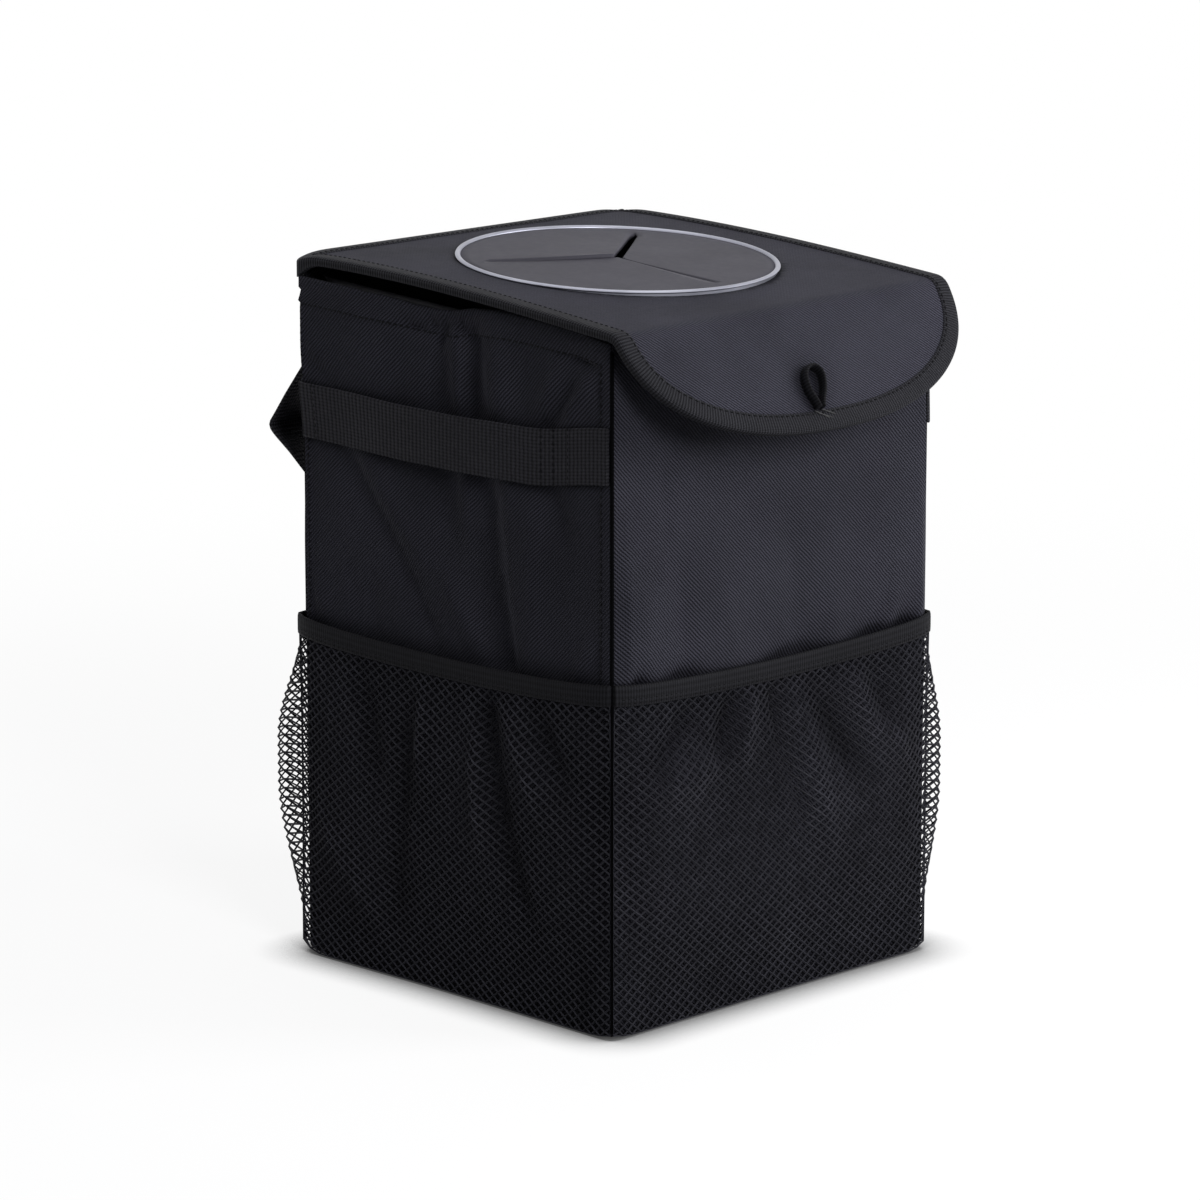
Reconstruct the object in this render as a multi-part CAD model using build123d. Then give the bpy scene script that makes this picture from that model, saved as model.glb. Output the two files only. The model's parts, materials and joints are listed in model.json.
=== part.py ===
"""Foldable fabric car bin: soft sides, boards in front, back, base and lid, net pockets, slit rubber mouth.

Millimetres. The floor is z = 0 under the middle of the base, +Z is up and the front faces -Y.
"""
import os
from math import atan2, cos, degrees, hypot, radians, sin

from build123d import *

# driving sizes of the body
WIDTH = 200.0  # outside, left to right
DEPTH = 195.0  # outside, front to back
LID_BACK = 321.5  # top of the bound lid edge over the hinge
LID_FRONT = 312.0  # top of the bound lid edge over the front fold
FABRIC = 1.2  # one sewn panel of coated twill
BOARD = 2.0  # stiffening board
LINER = 0.8  # waterproof lining film with its backing
RIM_GAP = 0.5  # air between the rim and the closed lid
SIDE_SAG = 4.0  # how far the soft side rims hang in the middle
HEM = 12.0  # folded hem along the side rims
FLANGE = 7.0  # edge-stitched border of the side panels
EMBOSS = 0.5  # how far hem and border stand over the rest of a side panel
SLIDE_FIT = 0.5  # room round the loose boards
LINING_DROP = 6.0  # boards and lining end this far under the rim

# driving sizes of the net pockets
POCKET_TOP = 157.0  # top of the elastic edge over the floor
ELASTIC_TALL = 9.0
ELASTIC_THICK = 1.8
MOUTH = 4.8  # room behind the elastic edge
NET = 1.2  # thickness of the net
NET_SEAM = 5.0  # bottom seam of the net over the floor
BELLY_LOW = 48.0  # the nets stand out most from here
BELLY_HIGH = 104.0  # to here
FLAT_BULGE = 9.0  # front and left pockets
FULL_BULGE = 22.0  # right and back pockets
FLAT_LEAN = 14.0  # run of the net's slanting ends, along the panel
FULL_LEAN = 3.0
NET_CORNER = 5.0  # bevel between a net's front and its ends
POCKET_INSET = 0.5  # net ends stay this far inside the panel's edges
BAR = 5.0  # width of the net left between two gaps
GAPS_ACROSS = 5
GAPS_UP = 4

# driving sizes of the webbing
WEBBING = 25.0
WEB_THICK = 1.6
HANDLE_DROP = 59.4  # middle of the side handles under the rim
HANDLE_SLACK = 5.6  # how far the handles stand off in the middle
HANDLE_SEWN = 28.0  # flat sewn length at each end
STRAP_DROP = 71.4  # middle of the hanging straps under the back rim
STRAP_RISE = 54.0  # free height of a hanging strap
STRAP_OUT = 27.0  # how far it stands out from the back
STRAP_TAB = 12.0  # sewn length at each end
STRAP_EDGE = 5.0  # from the side of the bin to the strap

# driving sizes of the lid and its flap
LID_OVER = 4.0  # lid past the sides
HINGE_OUT = 3.0  # hinge line behind the back panel
FOLD_OUT = 5.0  # front fold before the front panel
LID_CORNER = 6.0
COVER = 1.0
LID_BOARD = 1.6
LID_LINER = 0.6
TAPE = 0.6  # thickness of the binding tape
TAPE_WIDE = 10.0  # tape showing on each side of an edge
FOLD_GAP = 0.6  # cloth left off on each side of the fold line
FOLD_BARE = 6.0  # boards and tape stop this far from the fold line
FLAP_DROP = 55.0  # degrees of the flap below level
FLAP_LONG = 59.0
FLAP_BOARD = 1.6
FLAP_POWER = 2.3  # roundness of the flap's outline
HINGE_STRIP = 20.0  # height of the strip that hinges the lid
HINGE_CLOTH = 0.8

# driving sizes of the mouth
RING = 145.2  # outside diameter of the bezel
RING_WALL = 1.4
RING_LIP = 1.6  # how far the bezel reaches over the rubber
RING_TOP = 1.0  # thickness of that reach
RING_BEVEL = 0.6
MOUTH_FIT = 0.4  # room round the rubber disc
RUBBER = 2.0
RUBBER_SEAT = 5.5  # rubber lying on the lid round the hole
RETAINER = 2.0
SLIT_LONG = 62.0
SLIT = 1.2
SLIT_OPEN = 3.0  # the slit that stands open in the picture
SLIT_FIRST = -90.0  # one slit points to the front

# driving sizes of the closing loop
LOOP_ROUND = 7.5  # radius of its round end
LOOP_FOOT = 2.6
LOOP_LONG = 10.0  # between the two middles
LOOP_WIDE = 4.5  # ribbon stands on edge
LOOP_THICK = 1.6
LOOP_SIDE = -7.0  # sewn on left of the flap's middle

# sizes that follow from those above
HALF_W = WIDTH / 2
HALF_D = DEPTH / 2
IN_W = HALF_W - FABRIC
IN_D = HALF_D - FABRIC
FLOOR = FABRIC + BOARD
LID_STACK = LID_LINER + LID_BOARD + COVER
LID_THICK = LID_STACK + 2 * TAPE
HINGE_Y = HALF_D + HINGE_OUT
LID_RUN = HINGE_Y + HALF_D + FOLD_OUT
LID_TILT = degrees(atan2(LID_BACK - LID_FRONT, LID_RUN))
LID_LONG = hypot(LID_BACK - LID_FRONT, LID_RUN)
HINGE_Z = LID_BACK - LID_THICK * cos(radians(LID_TILT))
LID_HALF = HALF_W + LID_OVER
TILT = radians(LID_TILT)


def under_lid(y):
    """Height of the lid's underside over the floor, at a distance behind the middle."""
    return HINGE_Z - (HINGE_Y - y) * (LID_BACK - LID_FRONT) / LID_RUN


RIM_FRONT = under_lid(-HALF_D) - RIM_GAP
RIM_BACK = under_lid(IN_D) - RIM_GAP
INNER_DROP = RIM_GAP + LINING_DROP
HANDLE_Z = (RIM_FRONT + RIM_BACK) / 2 - HANDLE_DROP
STRAP_Z = RIM_BACK - STRAP_DROP


def block(x0, x1, y0, y1, z0, z1):
    """A box between two corners."""
    place = Pos((x0 + x1) / 2, (y0 + y1) / 2, (z0 + z1) / 2)
    return place * Box(x1 - x0, y1 - y0, z1 - z0)


def wall(x0, x1, y0, y1, bottom, drop):
    """An upright wall whose top edge follows the closed lid's slope, a distance below it."""
    foot = [(y0, bottom), (y1, bottom)]
    top = [(y1, under_lid(y1) - drop), (y0, under_lid(y0) - drop)]
    section = make_face(Polyline(*foot, *top, close=True))
    return Pos(x0, 0, 0) * extrude(Plane.YZ * section, x1 - x0)


# panels, boards and lining
bottom_panel = block(-HALF_W, HALF_W, -HALF_D, HALF_D, 0, FABRIC)
BOARD_HALF = IN_W - SLIDE_FIT
BASE_HALF = IN_D - SLIDE_FIT
bottom_board = block(-BOARD_HALF, BOARD_HALF, -BASE_HALF, BASE_HALF, FABRIC, FLOOR)
front_panel = wall(-HALF_W, HALF_W, -HALF_D, -IN_D, FABRIC, RIM_GAP)
back_panel = wall(-HALF_W, HALF_W, IN_D, HALF_D, FABRIC, RIM_GAP)
front_board = wall(-BOARD_HALF, BOARD_HALF, -IN_D, -IN_D + BOARD, FLOOR, INNER_DROP)
back_board = wall(-BOARD_HALF, BOARD_HALF, IN_D - BOARD, IN_D, FLOOR, INNER_DROP)
BAG_D = IN_D - BOARD
lining = wall(-IN_W, IN_W, -BAG_D, BAG_D, FLOOR, INNER_DROP)
lining -= wall(-IN_W + LINER, IN_W - LINER, -BAG_D + LINER, BAG_D - LINER, FLOOR + LINER, 0)


def side_outline(inset, bottom, drop):
    """Upright outline of a side panel in the plane of y and z, its upper edge an arc that sags."""
    y0, y1 = -IN_D + inset, IN_D - inset
    z_front = under_lid(-IN_D) - RIM_GAP - drop
    z_back = under_lid(IN_D) - RIM_GAP - drop
    middle = (z_front + z_back) / 2 - SIDE_SAG
    rim = ThreePointArc((y0, z_front), (0, middle), (y1, z_back))
    rest = Polyline((y1, z_back), (y1, bottom), (y0, bottom), (y0, z_front))
    return Plane.YZ * make_face(rim + rest)


def side_panel(side):
    """One soft side with a stitched border and a folded hem that stand proud of it."""
    whole = Pos(IN_W, 0, 0) * extrude(side_outline(0, FABRIC, 0), FABRIC)
    field = Pos(HALF_W - EMBOSS, 0, 0) * extrude(side_outline(FLANGE, FABRIC + FLANGE, HEM), EMBOSS + 1)
    panel = whole - field
    return panel if side > 0 else mirror(panel, Plane.YZ)


left_panel = side_panel(-1)
right_panel = side_panel(1)


# net pockets are made on the plane y = 0 with the outside towards -y, then turned to their panels
NET_TOP = POCKET_TOP - ELASTIC_TALL
EDGE_OUT = MOUTH + ELASTIC_THICK


def pocket_plan(half, bulge, lean, thin):
    """Outline of a pocket seen from above, thinner by a wall on its three free sides."""
    slant = hypot(lean, bulge)
    inner = half - thin * slant / bulge
    out = bulge - thin
    back = 2.0 * thin
    run = lean / bulge
    points = [
        (-inner - back * run, back),
        (-inner + out * run, -out),
        (inner - out * run, -out),
        (inner + back * run, back),
    ]
    plan = make_face(Polyline(*points, close=True))
    front = plan.vertices().sort_by(Axis.Y)[:2]
    return chamfer(front, NET_CORNER - thin / 2)


def pocket_rise(bulge, thin, top):
    """Upright section of a pocket in the plane of y and z, up from the bottom seam and in to the elastic."""
    seam, lip = (thin, NET_SEAM), (thin - EDGE_OUT, NET_TOP)
    belly = [(thin - bulge, BELLY_LOW), (thin - bulge, BELLY_HIGH)]
    back = 2.0 * thin
    rest = [(lip[0], top), (back, top), (back, NET_SEAM)] if thin else [(0, top)]
    return Plane.YZ * make_face(Polyline(seam, *belly, lip, *rest, close=True))


def pocket(half, bulge, lean):
    """The net of one pocket, with its gaps, and its elastic edge."""
    tall = POCKET_TOP + 10
    outer = extrude(pocket_plan(half, bulge, lean, 0), tall)
    inner = extrude(pocket_plan(half, bulge, lean, NET), tall)
    far = 2 * half + 20
    swell = Pos(-far / 2, 0, 0) * extrude(pocket_rise(bulge, 0, NET_TOP), far)
    room = Pos(-far / 2, 0, 0) * extrude(pocket_rise(bulge, NET, tall), far)
    net = (outer & swell) - (inner & room)
    flat = half - min(lean, NET_CORNER) - BAR
    step_x = 2 * flat / GAPS_ACROSS
    low, high = NET_SEAM + 2 * BAR, NET_TOP - BAR / 2
    step_z = (high - low) / GAPS_UP
    holes = []
    for row in range(2 * GAPS_UP - 1):
        odd = row % 2
        for column in range(GAPS_ACROSS - odd):
            x = -flat + step_x * (column + (1 + odd) / 2)
            z = low + step_z * (row + 1) / 2
            holes.append((x, z))
    wide, high_half = step_x / 2 - BAR / 2, step_z / 2 - BAR / 2
    diamond = Polyline((-wide, 0), (0, -high_half), (wide, 0), (0, high_half), close=True)
    gap = extrude(Plane.XZ * make_face(diamond), 2 * bulge)
    net -= [Pos(x, 0, z) * gap for x, z in holes]
    band_half = half - EDGE_OUT * lean / bulge
    ends = [(-half, 0), (-band_half, -EDGE_OUT), (band_half, -EDGE_OUT), (half, 0)]
    shift = ELASTIC_THICK * hypot(lean, bulge) / bulge
    inside = [(half - shift, 0), (band_half - shift, -MOUTH)]
    inside += [(-x, y) for x, y in reversed(inside)]
    elastic = Pos(0, 0, NET_TOP) * extrude(make_face(Polyline(*ends, *inside, close=True)), ELASTIC_TALL)
    return net, elastic


def stand(shape, turn, out):
    """Turns a pocket about the upright axis and moves it out to its panel."""
    return Rot(0, 0, turn) * (Pos(0, -out, 0) * shape)


SPAN_W = HALF_W - POCKET_INSET
SPAN_D = HALF_D - POCKET_INSET
front_net, front_elastic = (stand(s, 0, HALF_D) for s in pocket(SPAN_W, FLAT_BULGE, FLAT_LEAN))
left_net, left_elastic = (stand(s, -90, HALF_W) for s in pocket(SPAN_D, FLAT_BULGE, FLAT_LEAN))
right_net, right_elastic = (stand(s, 90, HALF_W) for s in pocket(SPAN_D, FULL_BULGE, FULL_LEAN))
back_net, back_elastic = (stand(s, 180, HALF_D) for s in pocket(SPAN_W, FULL_BULGE, FULL_LEAN))


def handle():
    """A webbing handle sewn flat at both ends, made on y = 0 with the outside towards -y."""
    half = HALF_D - POCKET_INSET
    sewn = half - HANDLE_SEWN
    outer = ThreePointArc((-sewn, -WEB_THICK), (0, -WEB_THICK - HANDLE_SLACK), (sewn, -WEB_THICK))
    right_end = Polyline((sewn, -WEB_THICK), (half, -WEB_THICK), (half, 0), (sewn, 0))
    inner = ThreePointArc((sewn, 0), (0, -HANDLE_SLACK), (-sewn, 0))
    left_end = Polyline((-sewn, 0), (-half, 0), (-half, -WEB_THICK), (-sewn, -WEB_THICK))
    strip = make_face(outer + right_end + inner + left_end)
    return Pos(0, 0, HANDLE_Z - WEBBING / 2) * extrude(strip, WEBBING)


left_handle = stand(handle(), -90, HALF_W)
right_handle = stand(handle(), 90, HALF_W)


def hanging_strap(side):
    """A folded loop of webbing on the back, sewn at its top and bottom."""
    rise = STRAP_RISE / 2
    steep = WEB_THICK * hypot(rise, STRAP_OUT) / STRAP_OUT
    flat = WEB_THICK * hypot(rise, STRAP_OUT) / rise
    points = [
        (0, rise + STRAP_TAB),
        (WEB_THICK, rise + STRAP_TAB),
        (WEB_THICK, rise - WEB_THICK * rise / STRAP_OUT),
        (STRAP_OUT, 0),
        (WEB_THICK, -rise + WEB_THICK * rise / STRAP_OUT),
        (WEB_THICK, -rise - STRAP_TAB),
        (0, -rise - STRAP_TAB),
        (0, -rise + steep),
        (STRAP_OUT - flat, 0),
        (0, rise - steep),
    ]
    strip = extrude(Plane.YZ * make_face(Polyline(*points, close=True)), WEBBING)
    tips = strip.edges().filter_by(Axis.X).sort_by(Axis.Y)[-1]
    strip = fillet(tips, 2 * WEB_THICK)
    x = HALF_W - STRAP_EDGE - WEBBING if side > 0 else -HALF_W + STRAP_EDGE
    return Pos(x, HALF_D, STRAP_Z) * strip


left_strap = hanging_strap(-1)
right_strap = hanging_strap(1)
hinge_strip = block(-IN_W, IN_W, HALF_D, HALF_D + HINGE_CLOTH, RIM_BACK - HINGE_STRIP, RIM_BACK)


# the lid is made level with its hinge line on the x axis and the lid towards -y, then tilted
def lid_outline(inset, front):
    """Lid outline seen from above, from the hinge to a line before the front fold."""
    half, back = LID_HALF - inset, -inset
    long = LID_LONG - front - inset
    sheet = Pos(0, back - long / 2) * Rectangle(2 * half, long)
    rear = sheet.vertices().sort_by(Axis.Y)[-2:]
    return fillet(rear, max(LID_CORNER - inset, TAPE))


def layer(outline, low, thick):
    """A flat layer of the lid or flap."""
    return Pos(0, 0, low) * extrude(outline, thick)


def placed_lid(shape):
    """Tilts a lid piece and moves it to the hinge line."""
    return Pos(0, HINGE_Y, HINGE_Z) * Rot(LID_TILT, 0, 0) * shape


RING_R = RING / 2
RUBBER_R = RING_R - RING_WALL - MOUTH_FIT
HOLE_R = RUBBER_R - RUBBER_SEAT
RING_Y = -LID_LONG / 2
COVER_LOW = TAPE + LID_LINER + LID_BOARD
COVER_TOP = COVER_LOW + COVER
hole = Pos(0, RING_Y, 0) * Cylinder(HOLE_R, 8 * LID_THICK)
lid_lining = placed_lid(layer(lid_outline(TAPE, FOLD_BARE), TAPE, LID_LINER) - hole)
lid_board = placed_lid(layer(lid_outline(TAPE, FOLD_BARE), TAPE + LID_LINER, LID_BOARD) - hole)
lid_cover = placed_lid(layer(lid_outline(TAPE, FOLD_GAP), COVER_LOW, COVER) - hole)
tape = layer(lid_outline(0, FOLD_BARE), 0, LID_THICK)
tape -= layer(lid_outline(TAPE_WIDE, FOLD_BARE - TAPE_WIDE - 1), -1, LID_THICK + 2)
tape -= layer(lid_outline(TAPE, -TAPE - 1), TAPE, LID_STACK)
lid_binding = placed_lid(tape)


def ring(outside, inside, low, thick):
    """A flat ring about the middle of the mouth, lying at a height over the lid's underside."""
    return Pos(0, RING_Y, low + thick / 2) * (Cylinder(outside, thick) - Cylinder(inside, 2 * thick))


bezel = ring(RING_R, RING_R - RING_WALL, COVER_TOP, RUBBER)
bezel += ring(RING_R, RUBBER_R - RING_LIP, COVER_TOP + RUBBER, RING_TOP)
crown = bezel.edges().filter_by(GeomType.CIRCLE).group_by(Axis.Z)[-1].sort_by(SortBy.RADIUS)[-1]
ring_bezel = placed_lid(chamfer(crown, RING_BEVEL))
ring_retainer = placed_lid(ring(RING_R, HOLE_R, TAPE - RETAINER, RETAINER))
disc = Pos(0, RING_Y, COVER_TOP + RUBBER / 2) * Cylinder(RUBBER_R, RUBBER)
for index, wide in enumerate((SLIT, SLIT_OPEN, SLIT)):
    slit = Pos(SLIT_LONG / 2, 0, COVER_TOP) * Box(SLIT_LONG, wide, 6 * RUBBER)
    disc -= Pos(0, RING_Y, 0) * Rot(0, 0, SLIT_FIRST + 120 * index) * slit
rubber_disc = placed_lid(disc)


# the flap is made flat with its fold line on the x axis and the flap towards -y, then turned down
def flap_point(share, inset):
    """A point of the flap's rounded outline, by its share of the length, moved in by an inset."""
    x = LID_HALF * (1 - share ** FLAP_POWER) ** (1 / FLAP_POWER)
    y = FLAP_LONG * share
    nx = (x / LID_HALF) ** (FLAP_POWER - 1) / LID_HALF
    ny = (y / FLAP_LONG) ** (FLAP_POWER - 1) / FLAP_LONG
    size = hypot(nx, ny)
    return x - inset * nx / size, -(y - inset * ny / size)


def flap_outline(inset, start):
    """Flap outline from a line beside the fold, inset along its free edge."""
    side = flap_point(0.22, inset)
    corner = flap_point(0.66, inset)
    foot = flap_point(0.885, inset)
    end = flap_point(1.0, inset)
    edge_x = LID_HALF - inset
    root = (edge_x + (side[0] - edge_x) * start / -side[1], -start)
    flip = [(-x, y) for x, y in (root, side, corner, foot)]
    right = Line(root, side) + ThreePointArc(side, corner, foot)
    low = ThreePointArc(foot, end, flip[3])
    left = ThreePointArc(flip[3], flip[2], flip[1]) + Line(flip[1], flip[0])
    return make_face(right + low + left + Line(flip[0], root))


COVER_MID = COVER_LOW + COVER / 2
FOLD_Y = HINGE_Y - LID_LONG * cos(TILT) - COVER_MID * sin(TILT)
FOLD_Z = HINGE_Z - LID_LONG * sin(TILT) + COVER_MID * cos(TILT)


def placed_flap(shape):
    """Turns a flap piece down and moves it to the fold line."""
    return Pos(0, FOLD_Y, FOLD_Z) * Rot(FLAP_DROP, 0, 0) * shape


FLAP_LOW = -COVER / 2 - FLAP_BOARD - LID_LINER
FLAP_STACK = COVER + FLAP_BOARD + LID_LINER
flap_cover = placed_flap(layer(flap_outline(TAPE, FOLD_GAP), -COVER / 2, COVER))
flap_board = placed_flap(layer(flap_outline(TAPE, FOLD_BARE), FLAP_LOW + LID_LINER, FLAP_BOARD))
flap_lining = placed_flap(layer(flap_outline(TAPE, FOLD_BARE), FLAP_LOW, LID_LINER))
edge = layer(flap_outline(0, FOLD_BARE), FLAP_LOW - TAPE, FLAP_STACK + 2 * TAPE)
edge -= layer(flap_outline(TAPE_WIDE, 0), FLAP_LOW - TAPE - 1, FLAP_STACK + 2 * TAPE + 2)
edge -= layer(flap_outline(TAPE, 0), FLAP_LOW, FLAP_STACK)
flap_binding = placed_flap(edge)


def teardrop(shrink):
    """Outline of the closing loop, smaller all round by an amount."""
    foot_y = -FLAP_LONG + TAPE_WIDE + LOOP_FOOT
    top = Pos(LOOP_SIDE, foot_y + LOOP_LONG) * Circle(LOOP_ROUND - shrink)
    foot = Pos(LOOP_SIDE, foot_y) * Circle(LOOP_FOOT - shrink)
    return make_hull(top.edges() + foot.edges())


elastic_loop = placed_flap(layer(teardrop(0) - teardrop(LOOP_THICK), COVER / 2, LOOP_WIDE))

NODES = {
    "bottom_panel": bottom_panel,
    "bottom_board": bottom_board,
    "front_panel": front_panel,
    "back_panel": back_panel,
    "left_panel": left_panel,
    "right_panel": right_panel,
    "front_board": front_board,
    "back_board": back_board,
    "lining": lining,
    "front_net": front_net,
    "left_net": left_net,
    "right_net": right_net,
    "back_net": back_net,
    "front_elastic": front_elastic,
    "left_elastic": left_elastic,
    "right_elastic": right_elastic,
    "back_elastic": back_elastic,
    "left_handle": left_handle,
    "right_handle": right_handle,
    "left_strap": left_strap,
    "right_strap": right_strap,
    "hinge_strip": hinge_strip,
    "lid_cover": lid_cover,
    "lid_board": lid_board,
    "lid_lining": lid_lining,
    "lid_binding": lid_binding,
    "ring_bezel": ring_bezel,
    "ring_retainer": ring_retainer,
    "rubber_disc": rubber_disc,
    "flap_cover": flap_cover,
    "flap_board": flap_board,
    "flap_lining": flap_lining,
    "flap_binding": flap_binding,
    "elastic_loop": elastic_loop,
}

os.makedirs("parts", exist_ok=True)
for name, shape in NODES.items():
    solids = shape.solids()
    if len(solids) != 1:
        raise ValueError(f"{name} has {len(solids)} solids")
    export_step(solids[0], f"parts/{name}.step")
print("hinge at", round(HINGE_Y, 3), round(HINGE_Z, 3), "tilt", round(LID_TILT, 3))
print("fold at", round(FOLD_Y, 3), round(FOLD_Z, 3), "rims", round(RIM_FRONT, 2), round(RIM_BACK, 2))
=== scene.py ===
"""Dresses the foldable car bin: cloth shell, net pockets, webbing, bound lid and slit rubber mouth."""

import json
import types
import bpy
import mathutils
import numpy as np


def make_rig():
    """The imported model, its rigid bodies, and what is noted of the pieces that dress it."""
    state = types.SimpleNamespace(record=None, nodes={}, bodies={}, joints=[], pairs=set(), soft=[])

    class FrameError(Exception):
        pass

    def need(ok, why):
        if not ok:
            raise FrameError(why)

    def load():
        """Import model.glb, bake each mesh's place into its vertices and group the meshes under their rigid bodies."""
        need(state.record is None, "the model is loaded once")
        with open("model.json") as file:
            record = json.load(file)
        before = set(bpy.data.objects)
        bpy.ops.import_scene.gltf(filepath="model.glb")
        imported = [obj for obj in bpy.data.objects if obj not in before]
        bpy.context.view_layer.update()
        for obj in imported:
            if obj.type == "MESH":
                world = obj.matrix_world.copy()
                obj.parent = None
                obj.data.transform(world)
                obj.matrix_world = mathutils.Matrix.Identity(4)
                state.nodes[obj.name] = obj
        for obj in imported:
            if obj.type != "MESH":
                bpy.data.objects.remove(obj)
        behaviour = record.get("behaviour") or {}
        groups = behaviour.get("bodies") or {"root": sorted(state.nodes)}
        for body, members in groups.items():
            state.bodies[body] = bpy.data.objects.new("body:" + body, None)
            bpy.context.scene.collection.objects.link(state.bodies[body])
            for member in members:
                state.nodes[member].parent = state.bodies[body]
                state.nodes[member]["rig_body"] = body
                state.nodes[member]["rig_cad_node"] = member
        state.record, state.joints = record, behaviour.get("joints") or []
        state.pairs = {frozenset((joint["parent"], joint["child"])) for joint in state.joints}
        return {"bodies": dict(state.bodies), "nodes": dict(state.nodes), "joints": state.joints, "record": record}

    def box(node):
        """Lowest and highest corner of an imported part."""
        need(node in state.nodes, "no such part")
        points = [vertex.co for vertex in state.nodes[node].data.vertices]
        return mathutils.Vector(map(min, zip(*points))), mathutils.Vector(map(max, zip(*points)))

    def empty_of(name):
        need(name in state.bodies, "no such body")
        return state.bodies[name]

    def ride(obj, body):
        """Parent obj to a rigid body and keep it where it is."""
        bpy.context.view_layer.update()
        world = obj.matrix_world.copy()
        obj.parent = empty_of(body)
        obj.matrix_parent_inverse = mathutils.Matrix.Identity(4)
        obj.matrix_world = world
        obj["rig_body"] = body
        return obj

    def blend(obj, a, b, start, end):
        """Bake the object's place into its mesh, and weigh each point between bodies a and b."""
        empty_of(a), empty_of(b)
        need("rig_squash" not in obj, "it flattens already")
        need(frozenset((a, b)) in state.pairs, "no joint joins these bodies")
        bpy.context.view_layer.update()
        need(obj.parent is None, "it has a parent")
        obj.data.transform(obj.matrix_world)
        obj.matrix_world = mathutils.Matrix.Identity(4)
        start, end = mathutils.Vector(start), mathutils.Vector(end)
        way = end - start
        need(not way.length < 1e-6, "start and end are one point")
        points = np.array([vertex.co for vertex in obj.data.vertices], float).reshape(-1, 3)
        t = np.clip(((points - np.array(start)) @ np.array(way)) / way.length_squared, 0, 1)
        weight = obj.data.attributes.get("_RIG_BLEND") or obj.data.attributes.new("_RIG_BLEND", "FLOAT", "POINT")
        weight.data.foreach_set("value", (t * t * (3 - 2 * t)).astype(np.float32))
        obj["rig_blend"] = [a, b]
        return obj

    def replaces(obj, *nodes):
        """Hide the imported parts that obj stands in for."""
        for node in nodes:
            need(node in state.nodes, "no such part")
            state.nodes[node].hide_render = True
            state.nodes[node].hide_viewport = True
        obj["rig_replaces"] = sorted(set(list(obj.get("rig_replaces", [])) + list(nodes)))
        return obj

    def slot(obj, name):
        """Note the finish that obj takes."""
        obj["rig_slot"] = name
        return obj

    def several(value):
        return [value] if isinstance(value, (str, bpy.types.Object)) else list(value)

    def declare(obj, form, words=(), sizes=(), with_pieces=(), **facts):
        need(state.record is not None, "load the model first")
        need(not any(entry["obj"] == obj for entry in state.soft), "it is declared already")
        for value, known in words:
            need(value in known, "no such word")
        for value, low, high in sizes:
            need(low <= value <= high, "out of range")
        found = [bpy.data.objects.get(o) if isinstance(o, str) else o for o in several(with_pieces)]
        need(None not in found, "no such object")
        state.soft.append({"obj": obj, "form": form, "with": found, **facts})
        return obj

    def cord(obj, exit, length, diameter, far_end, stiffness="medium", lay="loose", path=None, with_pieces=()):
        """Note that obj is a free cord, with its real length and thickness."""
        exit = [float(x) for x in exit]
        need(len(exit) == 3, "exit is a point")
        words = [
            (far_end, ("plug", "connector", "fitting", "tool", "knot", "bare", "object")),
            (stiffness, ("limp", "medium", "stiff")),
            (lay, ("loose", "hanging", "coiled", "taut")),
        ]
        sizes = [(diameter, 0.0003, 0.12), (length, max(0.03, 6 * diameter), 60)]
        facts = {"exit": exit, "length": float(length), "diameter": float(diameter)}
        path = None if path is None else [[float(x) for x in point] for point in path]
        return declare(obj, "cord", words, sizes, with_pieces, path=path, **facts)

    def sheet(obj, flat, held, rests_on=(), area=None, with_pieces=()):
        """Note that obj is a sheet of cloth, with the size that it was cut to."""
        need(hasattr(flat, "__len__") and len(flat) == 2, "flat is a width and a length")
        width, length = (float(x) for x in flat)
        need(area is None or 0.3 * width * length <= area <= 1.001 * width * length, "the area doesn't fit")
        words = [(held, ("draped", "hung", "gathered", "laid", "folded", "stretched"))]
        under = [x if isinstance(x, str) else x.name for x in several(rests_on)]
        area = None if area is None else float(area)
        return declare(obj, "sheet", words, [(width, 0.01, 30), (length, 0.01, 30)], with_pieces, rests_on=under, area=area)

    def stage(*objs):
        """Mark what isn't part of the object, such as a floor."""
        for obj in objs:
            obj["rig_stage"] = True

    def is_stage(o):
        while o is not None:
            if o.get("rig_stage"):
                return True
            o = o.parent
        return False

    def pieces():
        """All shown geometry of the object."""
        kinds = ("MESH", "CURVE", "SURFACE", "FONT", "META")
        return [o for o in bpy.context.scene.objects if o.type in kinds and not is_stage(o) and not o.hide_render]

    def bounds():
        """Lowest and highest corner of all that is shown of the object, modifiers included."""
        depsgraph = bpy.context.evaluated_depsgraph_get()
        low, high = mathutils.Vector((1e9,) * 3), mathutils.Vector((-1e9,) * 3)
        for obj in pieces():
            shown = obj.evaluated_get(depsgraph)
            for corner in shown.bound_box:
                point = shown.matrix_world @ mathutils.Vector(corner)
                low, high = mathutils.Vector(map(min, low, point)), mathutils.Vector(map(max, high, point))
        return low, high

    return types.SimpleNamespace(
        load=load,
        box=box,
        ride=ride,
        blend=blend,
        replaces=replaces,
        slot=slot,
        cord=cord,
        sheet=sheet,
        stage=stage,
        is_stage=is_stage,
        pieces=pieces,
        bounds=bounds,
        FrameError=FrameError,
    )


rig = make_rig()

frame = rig.load()

import json
import logging
import math
from dataclasses import dataclass, field, replace
from enum import Enum
from functools import cache
from typing import Callable, Iterable, Optional, Sequence

import bmesh
import bpy
from mathutils import Matrix, Vector, noise

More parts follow.
